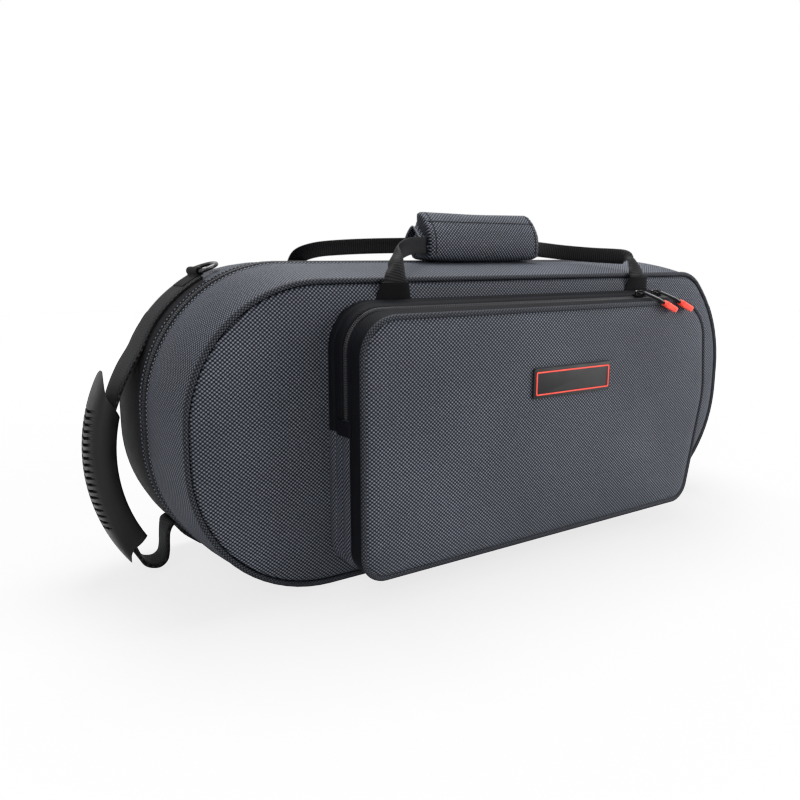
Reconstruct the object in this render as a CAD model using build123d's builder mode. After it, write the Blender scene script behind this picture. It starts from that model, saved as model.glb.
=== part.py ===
from build123d import *
import os
from math import atan2, cos, radians, sin, tan

# Trumpet case, standing on its long edge as it is carried.
# X runs along the case with the round bell end at -X, the pocket faces -Y, Z is up.
# The origin is under the middle of the overall box, on the floor.

# ---------------------------------------------------------------- case body
case_length = 590           # along the zip seam
case_height = 246
bell_top_radius = 110       # the round end over the trumpet's bell
bell_straight = 21          # upright between its two corners
bell_bottom_radius = case_height - bell_top_radius - bell_straight
side_drop = 128             # top of the case to the narrow end's lower corner
foot_radius = case_height - side_drop
shoulder_run = 55           # sloping shoulder of the narrow end
shoulder_drop = 58
shoulder_radius = 50
nose_radius = 128
lid_depth = 75              # front half, seam to front panel
lid_taper = 10              # the front outline is drawn in by this
lid_lean = 3                # and sits this much lower and nearer the bell
base_depth = 80             # rear half, seam to rear panel
base_taper = 2
shell_wall = 3              # nylon over stiff board
sole_flat = 0.05            # the underside is pressed flat by this
sewn_in = 0.3               # webbing sewn on a panel sinks in by this
seam_x = 14.1               # middle of the body from the middle of the overall box
seam_y = 24.7               # the seam plane likewise

# ---------------------------------------------------------------- zips, trims
zip_half = 8                # tape showing each side of the seam
seam_gap = 0.15             # half the gap between the two closed halves
tape_recess = 1
tape_thick = 1
coil_width = 2.2            # each half of the closed chain
coil_proud = 0.6
hinge_half = 196            # half the length of the fabric hinge under the case
hinge_thick = 1.5
piping_radius = 2.5
cord_sides = 6              # facets round piping, wire and cord

# ---------------------------------------------------------------- foam cradle
foam_fit = 0.1              # foam to shell
foam_gap = 0.3              # foam to the seam plane
bell_radius = 66            # trumpet bell and its clearance
bell_rim_x = -266
bell_throat_x = -130
throat_radius = 16
bell_lip = 20               # straight part at the bell's rim
bell_z = case_height / 2
tubing_length = 270         # main loop of tubing
tubing_height = 74
tubing_depth = 34
tubing_x = -20
valve_width = 84            # the three valves lie across the loop
valve_height = 178
valve_x = 18
pipe_width = 26             # leadpipe channel to the narrow end
pipe_end_x = 226
pipe_z = bell_z + 23
lid_cavity_depth = 26
kit_length = 96             # compartment for oil and cloth
kit_height = 52
kit_depth = 46
kit_x = 128
kit_z = 78
mouthpiece_radius = 14
mouthpiece_length = 84
mouthpiece_x = -108
mouthpiece_z = case_height - 50
cradle_strap_x = 96
cradle_strap_lap = 22       # past each side of the tubing
strap_recess = 2.2

# ---------------------------------------------------------------- front pocket
pocket_depth = 45
pocket_left = -183
pocket_right = 207
pocket_shoulder_x = 197
pocket_elbow_z = 127        # the right side slopes in below this
pocket_foot_x = 184
pocket_bottom = 19
pocket_top = case_height - 27
pocket_top_left_radius = 34
pocket_top_right_radius = 44
pocket_elbow_radius = 90
pocket_foot_radius = 24
pocket_taper = 6
pocket_drop = 4             # the front outline also sits lower
pocket_shift = 2            # and nearer the bell
pocket_wall = 2.5
fold_z = 136                # the panel folds here when the zip is open
fold_gap = 0.3
pocket_tape_start = 20      # zip tapes, measured out from the lid
pocket_tape_width = 4
pocket_chain_width = 1.5
pocket_piping_radius = 2.2
end_tab_height = 10         # tabs over the ends of the pocket zip
end_tab_start = 16
end_tab_width = 16
end_tab_thick = 1.5
label_length = 88
label_height = 24
label_thick = 1.6
label_x = 18
label_z = 151

# ---------------------------------------------------------------- top handle
webbing_width = 25
webbing_thick = 2
handle_x = 9
anchor_span = 272           # between the middles of a loop's two ends
anchor_height = 9
fold_inward = 17            # the loop's folds stand in over the gusset
fold_rise = 16
edge_rise = 6               # webbing stands this far up past the piping first
grip_span = 127             # padded wrap
wrap_bottom = case_height + 2
wrap_height = 40
wrap_half_width = 24
core_height = 20
core_offset = 9

# ---------------------------------------------------------------- end handle
strap_width = 34
strap_thick = 3
strap_fit = 0.5             # strap to the tapering gusset, at its nearer edge
strap_break = 0.9           # between the sewn strap and the part that swings
strap_top_break = 34        # the swinging part starts this far above the middle
strap_low_break = 96        # and ends this far below it
handle_depth = -40          # middle of the end handle, behind the seam
strap_top_angle = 118       # round the bell end, from +X
strap_leave_angle = 153
anchor_angle = 221.5        # lower sewn end, round the lower corner
anchor_end_angle = 232
grip_width = 42
grip_edge = 4               # chamfer along the grip
grip_thick = 20
bell_end = -case_length / 2
middle_z = case_height / 2
grip_top = (bell_end - 19, middle_z + 42)
grip_belly = (bell_end - 36, middle_z - 35)
grip_foot = (bell_end - 7, middle_z - 114)
grip_inner_top = (bell_end - 10, middle_z + 14)
grip_inner_belly = (bell_end - 15, middle_z - 35)
grip_inner_foot = (bell_end + 6, middle_z - 92)
strap_bow = (30, 60, 60, 40)  # bends of the strap inside the grip
strap_fold = 4.5            # bends of the slack below it
strap_tuck = 2.6
slot_count = 19
slot_width = 2.4
slot_depth = 9
slot_pitch_angle = 2.15
patch_thick = 0.8           # reinforcement behind the handle
patch_margin = 4
patch_bottom = 50
patch_top = 170

# ---------------------------------------------------------------- rings, sliders
ring_wire = 1.75
ring_span = 31
ring_reach = 17
ring_corner = 2.4
ring_bow = 14
pin_clearance = 0.08
ring_tab_wall = 1.6
ring_lift = 20              # degrees above level at rest
side_ring_hang = -78        # the ring at the narrow end hangs
side_ring_angle = 2         # its place round the narrow end, from +X
pocket_slider_x = 124
slider_spacing = 22
upper_slider_angle = 20     # main zip sliders, round the narrow end
lower_slider_angle = -30
slider_length = 13
slider_width = 9
slider_thick = 1.6
slider_clear = 0.3
bridge_length = 10.4
bridge_height = 3.7
bridge_width = 1.6
bridge_bar = 1.1
pull_wire = 0.8
pull_cord = 1.5
pull_eye = 3.4
pull_play = 0.45            # eye wire to slider
pull_bend = 6
pull_across = 13            # how far a pocket pull lies along the zip
pull_over = 2.6             # past the edge of the pocket before it drops
pull_drop = 7
tip_length = 15
tip_width = 5.6
tip_thick = 4

seam = Plane(origin=(seam_x, seam_y, 0), x_dir=(1, 0, 0), z_dir=(0, -1, 0))


def place(x, z, depth):
    """A point by length, height and depth in front of the seam."""
    return seam.from_local_coords((x, z, depth))


def case_section(depth, inset=0):
    """Outline of the body at a depth in front of the seam, drawn in by inset."""
    share = depth / lid_depth if depth > 0 else -depth / base_depth
    taper = (lid_taper if depth > 0 else base_taper) * share
    down = (lid_lean if depth > 0 else base_taper) * share
    across = lid_lean * share if depth > 0 else 0
    half = case_length / 2
    origin = place(-across, -down, depth)
    with BuildSketch(Plane(origin=origin, x_dir=seam.x_dir, z_dir=seam.z_dir)) as section:
        with BuildLine():
            FilletPolyline(
                (-half, 0),
                (-half, case_height),
                (half - shoulder_run, case_height),
                (half, case_height - shoulder_drop),
                (half, 0),
                radius=[
                    bell_bottom_radius,
                    bell_top_radius,
                    shoulder_radius,
                    nose_radius,
                    foot_radius,
                ],
                close=True,
            )
        make_face()
        if taper + inset != 0:
            offset(amount=-(taper + inset))
    return section.sketch


def fill_case(rear, front, inset=0, mode=Mode.ADD):
    """Fills the body between two depths."""
    loft([case_section(rear, inset), case_section(front, inset)], ruled=True, mode=mode)


def pocket_section(reach, inset=0):
    """Outline of the pocket at a reach in front of the lid's panel."""
    share = reach / pocket_depth
    origin = place(-pocket_shift * share, -pocket_drop * share, lid_depth + reach)
    with BuildSketch(Plane(origin=origin, x_dir=seam.x_dir, z_dir=seam.z_dir)) as section:
        with BuildLine():
            FilletPolyline(
                (pocket_left, pocket_bottom),
                (pocket_left, pocket_top),
                (pocket_shoulder_x, pocket_top),
                (pocket_right, pocket_elbow_z),
                (pocket_foot_x, pocket_bottom),
                radius=[
                    pocket_foot_radius,
                    pocket_top_left_radius,
                    pocket_top_right_radius,
                    pocket_elbow_radius,
                    pocket_foot_radius,
                ],
                close=True,
            )
        make_face()
        offset(amount=-(pocket_taper * share + inset))
    return section.sketch


def fill_pocket(rear, front, inset=0, mode=Mode.ADD):
    loft([pocket_section(rear, inset), pocket_section(front, inset)], ruled=True, mode=mode)


def block(low, high, mode=Mode.SUBTRACT):
    """A box between two (x, z, depth) corners."""
    first, last = place(*low), place(*high)
    middle = (first + last) / 2
    size = last - first
    with Locations(middle):
        Box(abs(size.X), abs(size.Y), abs(size.Z), mode=mode)


far = case_length           # reaches past everything
front_edge_z = case_height - lid_taper - lid_lean - piping_radius - webbing_thick
rear_edge_z = case_height - 2 * base_taper - 2 * piping_radius - webbing_thick


def loop_anchor(side, hand, panel, edge_z, mode=Mode.ADD):
    """A sewn end of a handle's loop, sunk a little into the panel."""
    foot_x = handle_x + hand * anchor_span / 2
    inner = panel - sewn_in
    block(
        (foot_x - webbing_width / 2, edge_z - anchor_height - foam_gap, side * inner),
        (foot_x + webbing_width / 2, edge_z - foam_gap, side * (inner + webbing_thick)),
        mode,
    )


# ================================================================ base shell
with BuildPart() as base_piping:
    rim = case_section(-base_depth, piping_radius).face().outer_wire()
    with BuildSketch(Plane(origin=rim @ 0, z_dir=rim % 0)):
        RegularPolygon(piping_radius, cord_sides)
    sweep(path=rim)

with BuildPart() as base_shell:
    fill_case(-base_depth, -zip_half)
    fill_case(-base_depth + shell_wall, -zip_half, shell_wall, Mode.SUBTRACT)
    add(base_piping.part, mode=Mode.SUBTRACT)
    split(bisect_by=Plane.XY.offset(sole_flat), keep=Keep.TOP)
    for hand in (-1, 1):
        loop_anchor(-1, hand, base_depth, rear_edge_z, Mode.SUBTRACT)

# ================================================================ lid shell
with BuildPart() as lid_piping:
    rim = case_section(lid_depth, 0).face().outer_wire()
    with BuildSketch(Plane(origin=rim @ 0, z_dir=rim % 0)):
        RegularPolygon(piping_radius, cord_sides)
    sweep(path=rim)

with BuildPart() as lid_shell:
    fill_case(zip_half, lid_depth)
    fill_case(zip_half, lid_depth - shell_wall, shell_wall, Mode.SUBTRACT)
    add(lid_piping.part, mode=Mode.SUBTRACT)
    for hand in (-1, 1):
        loop_anchor(1, hand, lid_depth, front_edge_z, Mode.SUBTRACT)


# ================================================================ main zip
def zip_band(side, width, outset, thick):
    """A band round the seam on one half, left out along the hinge."""
    near, reach = side * seam_gap, side * width
    fill_case(near, reach, outset)
    fill_case(near, reach, outset + thick, Mode.SUBTRACT)
    block((-hinge_half, -far, -far), (hinge_half, foot_radius / 2, far))


with BuildPart() as base_zip_tape:
    zip_band(-1, zip_half, tape_recess, tape_thick)

with BuildPart() as lid_zip_tape:
    zip_band(1, zip_half, tape_recess, tape_thick)

with BuildPart() as base_zip_chain:
    zip_band(-1, coil_width, -coil_proud, coil_proud + tape_recess)

with BuildPart() as lid_zip_chain:
    zip_band(1, coil_width, -coil_proud, coil_proud + tape_recess)


def hinge_band(side):
    """Half of the fabric hinge, flush with the underside."""
    fill_case(side * seam_gap, side * zip_half)
    fill_case(side * seam_gap, side * zip_half, hinge_thick, Mode.SUBTRACT)
    block((-hinge_half, -far, -far), (hinge_half, foot_radius / 2, far), Mode.INTERSECT)


with BuildPart() as base_hinge_tape:
    hinge_band(-1)

with BuildPart() as lid_hinge_tape:
    hinge_band(1)


# ================================================================ foam cradle
def cradle_cuts(side, depth):
    """Trumpet-shaped hollow sunk into one foam half from the seam."""
    with BuildSketch(seam) as hollow:
        with Locations((tubing_x, bell_z)):
            RectangleRounded(tubing_length, tubing_height, tubing_height / 3)
        with Locations((valve_x, bell_z)):
            RectangleRounded(valve_width, valve_height, valve_width / 5)
        with Locations(((valve_x + pipe_end_x) / 2, pipe_z)):
            SlotOverall(pipe_end_x - valve_x, pipe_width)
    extrude(hollow.sketch, amount=side * depth, mode=Mode.SUBTRACT)
    with BuildSketch(Plane(origin=place(0, bell_z, 0), x_dir=(1, 0, 0), z_dir=(0, 0, 1))) as flare:
        with BuildLine():
            Polyline(
                (bell_rim_x, 0),
                (bell_rim_x, bell_radius),
                (bell_rim_x + bell_lip, bell_radius),
                (bell_throat_x, throat_radius),
                (bell_throat_x, 0),
                close=True,
            )
        make_face()
    axis = Axis(place(0, bell_z, 0), (1, 0, 0))
    revolve(flare.sketch, axis, mode=Mode.SUBTRACT)


with BuildPart() as base_foam:
    fill_case(-base_depth + shell_wall + foam_fit, -foam_gap, shell_wall + foam_fit)
    cradle_cuts(-1, tubing_depth)
    with BuildSketch(seam) as kit:
        with Locations((kit_x, kit_z - kit_height / 2)):
            RectangleRounded(kit_length, kit_height, 8)
    extrude(kit.sketch, amount=-kit_depth, mode=Mode.SUBTRACT)
    with BuildSketch(seam) as mouthpiece:
        with Locations((mouthpiece_x, mouthpiece_z)):
            SlotOverall(mouthpiece_length, 2 * mouthpiece_radius)
    extrude(mouthpiece.sketch, amount=-2 * mouthpiece_radius, mode=Mode.SUBTRACT)
    strap_reach = tubing_height / 2 + cradle_strap_lap
    block(
        (cradle_strap_x - webbing_width / 2, bell_z - strap_reach, -foam_gap - strap_recess),
        (cradle_strap_x + webbing_width / 2, bell_z + strap_reach, far),
    )

with BuildPart() as lid_foam:
    fill_case(foam_gap, lid_depth - shell_wall - foam_fit, shell_wall + foam_fit)
    cradle_cuts(1, lid_cavity_depth)

with BuildPart() as cradle_strap:
    block(
        (cradle_strap_x - webbing_width / 2, bell_z - strap_reach, -foam_gap - strap_recess),
        (cradle_strap_x + webbing_width / 2, bell_z + strap_reach, -foam_gap),
        Mode.ADD,
    )

# ================================================================ front pocket
with BuildPart() as pocket_piping:
    rim = pocket_section(pocket_depth, 0).face().outer_wire()
    with BuildSketch(Plane(origin=rim @ 0, z_dir=rim % 0)):
        RegularPolygon(pocket_piping_radius, cord_sides)
    sweep(path=rim)
    block((-far, fold_z, -far), (far, far, far))

with BuildPart() as flap_piping:
    rim = pocket_section(pocket_depth, 0).face().outer_wire()
    with BuildSketch(Plane(origin=rim @ 0, z_dir=rim % 0)):
        RegularPolygon(pocket_piping_radius, cord_sides)
    sweep(path=rim)
    block((-far, -far, -far), (far, fold_z + fold_gap, far))

rim_start = pocket_tape_start + 2 * pocket_tape_width
with BuildPart() as pocket_gusset:
    fill_pocket(0, pocket_depth)
    fill_pocket(0, pocket_depth, pocket_wall, Mode.SUBTRACT)
    block((-far, fold_z, lid_depth + pocket_tape_start), (far, far, far))
    add(pocket_piping.part, mode=Mode.SUBTRACT)

with BuildPart() as pocket_panel:
    fill_pocket(pocket_depth - pocket_wall, pocket_depth, pocket_wall)
    block((-far, fold_z, -far), (far, far, far))
    add(pocket_piping.part, mode=Mode.SUBTRACT)

with BuildPart() as flap_gusset:
    fill_pocket(rim_start, pocket_depth)
    fill_pocket(rim_start, pocket_depth, pocket_wall, Mode.SUBTRACT)
    block((-far, -far, -far), (far, fold_z + fold_gap, far))
    add(flap_piping.part, mode=Mode.SUBTRACT)

with BuildPart() as flap_panel:
    fill_pocket(pocket_depth - pocket_wall, pocket_depth, pocket_wall)
    block((-far, -far, -far), (far, fold_z + fold_gap, far))
    add(flap_piping.part, mode=Mode.SUBTRACT)

tape_meet = pocket_tape_start + pocket_tape_width


def pocket_band(start, end, outset, thick):
    """A band round the top of the pocket between two reaches."""
    fill_pocket(start, end, outset)
    fill_pocket(start, end, outset + thick, Mode.SUBTRACT)
    block((-far, -far, -far), (far, fold_z + fold_gap, far))


with BuildPart() as pocket_zip_tape:
    pocket_band(pocket_tape_start, tape_meet - seam_gap, tape_recess, tape_thick)

with BuildPart() as flap_zip_tape:
    pocket_band(tape_meet + seam_gap, rim_start, tape_recess, tape_thick)

with BuildPart() as pocket_zip_chain:
    chain_start = tape_meet - seam_gap - pocket_chain_width
    pocket_band(chain_start, tape_meet - seam_gap, -coil_proud, coil_proud + tape_recess)

with BuildPart() as flap_zip_chain:
    chain_end = tape_meet + seam_gap + pocket_chain_width
    pocket_band(tape_meet + seam_gap, chain_end, -coil_proud, coil_proud + tape_recess)



def end_tab(low_x, high_x):
    """Fabric tab over one end of the pocket zip, below the fold."""
    fill_pocket(end_tab_start, end_tab_start + end_tab_width, -end_tab_thick)
    fill_pocket(end_tab_start, end_tab_start + end_tab_width, 0, Mode.SUBTRACT)
    block((low_x, fold_z - end_tab_height, 0), (high_x, fold_z, far), Mode.INTERSECT)


with BuildPart() as pocket_end_tab_left:
    end_tab(-far, 0)

with BuildPart() as pocket_end_tab_right:
    end_tab(0, far)

with BuildPart() as label:
    front = lid_depth + pocket_depth
    block(
        (label_x - label_length / 2, label_z - label_height / 2, front),
        (label_x + label_length / 2, label_z + label_height / 2, front + label_thick),
        Mode.ADD,
    )
    fillet(label.edges().filter_by(Axis.Y), 2)


# ================================================================ top handle
def handle_loop(side, panel, edge_z):
    """One webbing loop, from its two ends over the piping to the wrap."""
    out = side * (panel + webbing_thick / 2 + foam_gap)
    fold_depth, fold_z = out - side * fold_inward, edge_z + edge_rise + fold_rise
    for hand in (-1, 1):
        foot_x = handle_x + hand * anchor_span / 2
        with BuildSketch(Plane(origin=place(foot_x, 0, 0), x_dir=(0, -1, 0), z_dir=(-1, 0, 0))) as end:
            with BuildLine():
                FilletPolyline((out, edge_z), (out, edge_z + edge_rise), (fold_depth, fold_z), radius=4)
            trace(line_width=webbing_thick)
        extrude(end.sketch, amount=webbing_width / 2, both=True)
        fold = place(foot_x, fold_z, fold_depth)
        run = place(handle_x + hand * grip_span / 2, core_z, side * core_offset) - fold
        across = Vector(0, -side * 0.45, 1)
        normal = across - run * (across.dot(run) / run.dot(run))
        with BuildSketch(Plane(origin=fold, x_dir=run, z_dir=normal)) as strap:
            Rectangle(run.length, webbing_width, align=(Align.MIN, Align.CENTER))
        extrude(strap.sketch, amount=webbing_thick / 2, both=True)
    block(
        (handle_x - grip_span / 2, core_z - core_height / 2, side * (core_offset - webbing_thick)),
        (handle_x + grip_span / 2, core_z + core_height / 2, side * (core_offset + webbing_thick)),
        Mode.ADD,
    )
    block((-far, -far, -side * far), (far, far, side * foam_gap))


def wrap_shape(side):
    """Half of the padded wrap, split from its twin over the seam."""
    with BuildSketch(Plane(origin=place(handle_x, 0, 0), x_dir=(0, -side, 0), z_dir=(-side, 0, 0))) as half:
        with BuildLine():
            FilletPolyline(
                (foam_gap, wrap_bottom),
                (wrap_half_width - 4, wrap_bottom),
                (wrap_half_width, wrap_bottom + 13),
                (wrap_half_width - 14, wrap_bottom + wrap_height),
                (foam_gap, wrap_bottom + wrap_height),
                radius=[0, 5, 8, 7, 0],
                close=True,
            )
        make_face()
    extrude(half.sketch, amount=grip_span / 2, both=True)


core_z = wrap_bottom + wrap_height * 0.42

with BuildPart() as front_loop:
    handle_loop(1, lid_depth + piping_radius, front_edge_z)

with BuildPart() as rear_loop:
    handle_loop(-1, base_depth + piping_radius, rear_edge_z)

with BuildPart() as front_wrap:
    wrap_shape(1)
    add(front_loop.part, mode=Mode.SUBTRACT)

with BuildPart() as rear_wrap:
    wrap_shape(-1)
    add(rear_loop.part, mode=Mode.SUBTRACT)


with BuildPart() as front_anchor_left:
    loop_anchor(1, -1, lid_depth, front_edge_z)
    add(lid_piping.part, mode=Mode.SUBTRACT)

with BuildPart() as front_anchor_right:
    loop_anchor(1, 1, lid_depth, front_edge_z)
    add(lid_piping.part, mode=Mode.SUBTRACT)

with BuildPart() as rear_anchor_left:
    loop_anchor(-1, -1, base_depth, rear_edge_z)

with BuildPart() as rear_anchor_right:
    loop_anchor(-1, 1, base_depth, rear_edge_z)

# ================================================================ end handle
handle_drop = base_taper * -handle_depth / base_depth
skin_grow = strap_fit - base_taper * -(handle_depth + strap_width / 2) / base_depth
bell_centre = (bell_top_radius - case_length / 2, case_height - bell_top_radius - handle_drop)
bell_skin = bell_top_radius + skin_grow
foot_centre = (bell_bottom_radius - case_length / 2, bell_bottom_radius - handle_drop)
foot_skin = bell_bottom_radius + skin_grow
handle_plane = Plane(origin=place(0, 0, handle_depth), x_dir=seam.x_dir, z_dir=seam.z_dir)


def around(centre, radius, angle):
    """A point round a corner of the body, by angle from +X."""
    return (centre[0] + radius * cos(radians(angle)), centre[1] + radius * sin(radians(angle)))


def curved_strip(centre, radius, thick, start, end, width, middle=handle_depth):
    """Webbing that hugs a round corner between two angles."""
    half_way = (start + end) / 2
    outer = radius + thick
    with BuildSketch(Plane(origin=place(0, 0, middle), x_dir=seam.x_dir, z_dir=seam.z_dir)) as strip:
        with BuildLine():
            ThreePointArc(*(around(centre, radius, a) for a in (start, half_way, end)))
            Line(around(centre, radius, end), around(centre, outer, end))
            ThreePointArc(*(around(centre, outer, a) for a in (end, half_way, start)))
            Line(around(centre, outer, start), around(centre, radius, start))
        make_face()
    extrude(strip.sketch, amount=width / 2, both=True)


def strap_route():
    """The webbing between its two sewn ends, bowed out and folded back below."""
    with BuildSketch(handle_plane) as route:
        with BuildLine():
            FilletPolyline(
                around(bell_centre, bell_skin + strap_thick / 2, strap_leave_angle),
                (bell_end - 13.5, middle_z + 25),
                (bell_end - 20, middle_z - 9),
                (bell_end - 21, middle_z - 49),
                (bell_end - 12, middle_z - 80),
                (bell_end + 4, strap_thick * 1.5),
                (bell_end + 14, strap_thick * 1.5),
                around(foot_centre, foot_skin + strap_thick * 2.4, anchor_angle - 8.3),
                around(foot_centre, foot_skin + strap_thick * 0.9, anchor_angle - 6.8),
                around(foot_centre, foot_skin + strap_thick / 2, anchor_angle),
                radius=[*strap_bow, strap_fold, strap_fold, strap_tuck, strap_tuck],
            )
        trace(line_width=strap_thick)
    extrude(route.sketch, amount=strap_width / 2, both=True)


top_break_z = middle_z + strap_top_break
low_break_z = middle_z - strap_low_break
with BuildPart() as end_strap:
    strap_route()
    block((-far, -far, -far), (far, top_break_z, far))
    curved_strip(bell_centre, bell_skin, strap_thick, strap_top_angle, strap_leave_angle, strap_width)

with BuildPart() as end_anchor:
    strap_route()
    block((-far, low_break_z, -far), (bell_end + 4, far, far))
    block((-far, -far, -far), (far, low_break_z, far))
    block((-far, middle_z, -far), (far, far, far))
    curved_strip(foot_centre, foot_skin, strap_thick, anchor_angle, anchor_end_angle, strap_width)

with BuildPart() as grip_strap:
    strap_route()
    block((-far, top_break_z - strap_break, -far), (far, far, far))
    block((bell_end + 4, low_break_z - strap_break, -far), (far, far, far))

with BuildPart() as end_grip:
    with BuildSketch(handle_plane) as leaf:
        with BuildLine():
            back = ThreePointArc(grip_top, grip_belly, grip_foot)
            Line(grip_foot, grip_inner_foot)
            ThreePointArc(grip_inner_foot, grip_inner_belly, grip_inner_top)
            Line(grip_inner_top, grip_top)
        make_face()
    extrude(leaf.sketch, amount=grip_width / 2, both=True)
    chamfer(end_grip.edges().filter_by(GeomType.CIRCLE), grip_edge)
    grip_centre = back.arc_center
    belly_angle = 180
    with BuildSketch(handle_plane) as slots:
        with Locations(grip_centre):
            with PolarLocations(
                back.radius,
                slot_count,
                belly_angle - slot_pitch_angle * (slot_count - 1) / 2,
                slot_pitch_angle * (slot_count - 1),
                endpoint=True,
            ):
                Rectangle(2 * slot_depth, slot_width)
    extrude(slots.sketch, amount=grip_width, both=True, mode=Mode.SUBTRACT)
    add(grip_strap.part, mode=Mode.SUBTRACT)

with BuildPart() as end_patch:
    patch_start, patch_end = patch_margin - base_depth, -zip_half - patch_margin
    fill_case(patch_start, patch_end, -patch_thick)
    fill_case(patch_start, patch_end, 0, Mode.SUBTRACT)
    block((-far, patch_bottom, -far), (-case_length / 4, patch_top, far), Mode.INTERSECT)

# ================================================================ strap rings
ring_hole = ring_wire + pin_clearance
ring_eye = ring_hole + ring_tab_wall


def ring_tab(centre, radius, eye_angle, tail_angle):
    """Folded webbing tab with an eye for a ring's bar."""
    curved_strip(centre, radius, ring_tab_wall, eye_angle, tail_angle, webbing_width)
    eye_at = around(centre, radius + ring_eye, eye_angle)
    plane = Plane(origin=place(*eye_at, handle_depth), x_dir=seam.x_dir, z_dir=seam.z_dir)
    with BuildSketch(plane) as eye:
        Circle(ring_eye)
    extrude(eye.sketch, amount=webbing_width / 2, both=True)
    with BuildSketch(plane) as hole:
        Circle(ring_hole)
    extrude(hole.sketch, amount=webbing_width, both=True, mode=Mode.SUBTRACT)


def ring(centre, radius, eye_angle, lift):
    """A D-ring of round wire, its straight bar in the tab's eye."""
    eye_at = around(centre, radius + ring_eye, eye_angle)
    outward = Vector(cos(radians(lift)), 0, sin(radians(lift)))
    flat = Plane(origin=place(*eye_at, handle_depth), x_dir=outward, z_dir=outward.cross(Vector(0, 1, 0)))
    half = ring_span / 2
    with BuildLine(flat) as bow:
        FilletPolyline(
            (0, -half),
            (ring_reach, -half),
            (ring_reach, half),
            (0, half),
            radius=[ring_corner, ring_bow, ring_bow, ring_corner],
            close=True,
        )
    wire = bow.wire()
    with BuildSketch(Plane(origin=wire @ 0, z_dir=wire % 0)) as section:
        RegularPolygon(ring_wire, cord_sides)
    sweep(section.sketch, path=wire)


ring_angle = strap_top_angle - 1
ring_tail = 9               # degrees of tail on each tab
strap_skin = bell_skin + strap_thick
with BuildPart() as end_ring_tab:
    ring_tab(bell_centre, strap_skin, ring_angle, ring_angle + ring_tail)

with BuildPart() as end_ring:
    ring(bell_centre, strap_skin, ring_angle, ring_lift)

nose_turn = atan2(shoulder_run, shoulder_drop)
nose_z = case_height - shoulder_drop - nose_radius * tan(nose_turn / 2)
side_centre = (case_length / 2 - nose_radius, nose_z - handle_drop)
with BuildPart() as side_ring_tab:
    ring_tab(side_centre, nose_radius + skin_grow, side_ring_angle, side_ring_angle + ring_tail)

with BuildPart() as side_ring:
    ring(side_centre, nose_radius + skin_grow, side_ring_angle, side_ring_hang)


# ================================================================ zip sliders
def slider(sole):
    """Sole plate of a zip slider and the bridge that its pull hangs from."""
    with BuildSketch(sole) as outline:
        with BuildLine():
            FilletPolyline(
                (-slider_length / 2, -slider_width / 3),
                (slider_length / 2, -slider_width / 2),
                (slider_length / 2, slider_width / 2),
                (-slider_length / 2, slider_width / 3),
                radius=slider_width / 4,
                close=True,
            )
        make_face()
    extrude(outline.sketch, amount=slider_thick)
    height = slider_thick + bridge_height
    with BuildSketch(Plane(origin=sole.origin, x_dir=sole.x_dir, z_dir=-sole.y_dir)) as bridge:
        with Locations((0, height / 2)):
            RectangleRounded(bridge_length, height, 1.4)
        with Locations((0, slider_thick + (bridge_height - bridge_bar) / 2)):
            Rectangle(bridge_length - 2 * bridge_bar, bridge_height - bridge_bar, mode=Mode.SUBTRACT)
    extrude(bridge.sketch, amount=bridge_width / 2, both=True)


def pull_path(sole, bend, end):
    """Middle line of a pull's cord, from its eye, in the slider's frame."""
    pivot = sole.offset(slider_thick + pull_wire + pull_play)
    with BuildLine(pivot) as path:
        FilletPolyline((2 * pull_eye, 0, pull_cord - pull_wire), bend, end, radius=pull_bend)
    return path.wire()


def pull(sole, path):
    """The stamped eye round the bridge and the cord that runs from it."""
    pivot = sole.offset(slider_thick + pull_wire + pull_play)
    with BuildSketch(Plane(origin=pivot.origin, x_dir=sole.x_dir, z_dir=-sole.y_dir)) as wire:
        Rectangle(2 * pull_wire, 2 * pull_wire)
    middle = pivot.from_local_coords((pull_eye, 0, 0))
    revolve(wire.sketch, Axis(middle, sole.z_dir))
    with BuildSketch(Plane(origin=path @ 0, z_dir=path % 0)) as section:
        RegularPolygon(pull_cord, cord_sides)
    sweep(section.sketch, path=path)


def pull_tip(sole, path):
    """Moulded end of a pull, over the end of its cord."""
    along = path % 1
    across = along.cross(sole.z_dir)
    with BuildSketch(Plane(origin=path @ 1, x_dir=along, z_dir=across.cross(along))) as tab:
        with Locations((tip_length / 6, 0)):
            RectangleRounded(tip_length, tip_width, tip_width / 3)
    extrude(tab.sketch, amount=tip_thick / 2, both=True)


# The pocket's two sliders meet over its right side, their pulls over its edge.
top_fall = (pocket_taper + pocket_drop) / pocket_depth
tape_normal = Vector(0, -top_fall, 1).normalized()
chain_top = pocket_top - top_fall * tape_meet + coil_proud
to_edge = pocket_depth - tape_meet + pull_over
drape_bend = (2 * pull_eye + pull_across, -to_edge, pull_over)
drape_end = (2 * pull_eye + pull_across * 4 / 3, -to_edge - pull_bend, -pull_drop)


def pocket_sole(x):
    foot = place(x, chain_top, lid_depth + tape_meet) + tape_normal * slider_clear
    return Plane(origin=foot, x_dir=(1, 0, 0), z_dir=tape_normal)


left_sole = pocket_sole(pocket_slider_x)
left_path = pull_path(left_sole, drape_bend, drape_end)
with BuildPart() as pocket_slider_left:
    slider(left_sole)

with BuildPart() as pocket_pull_tip_left:
    pull_tip(left_sole, left_path)

with BuildPart() as pocket_pull_left:
    pull(left_sole, left_path)
    add(pocket_pull_tip_left.part, mode=Mode.SUBTRACT)

right_sole = pocket_sole(pocket_slider_x + slider_spacing)
right_path = pull_path(right_sole, drape_bend, drape_end)
with BuildPart() as pocket_slider_right:
    slider(right_sole)

with BuildPart() as pocket_pull_tip_right:
    pull_tip(right_sole, right_path)

with BuildPart() as pocket_pull_right:
    pull(right_sole, right_path)
    add(pocket_pull_tip_right.part, mode=Mode.SUBTRACT)

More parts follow.
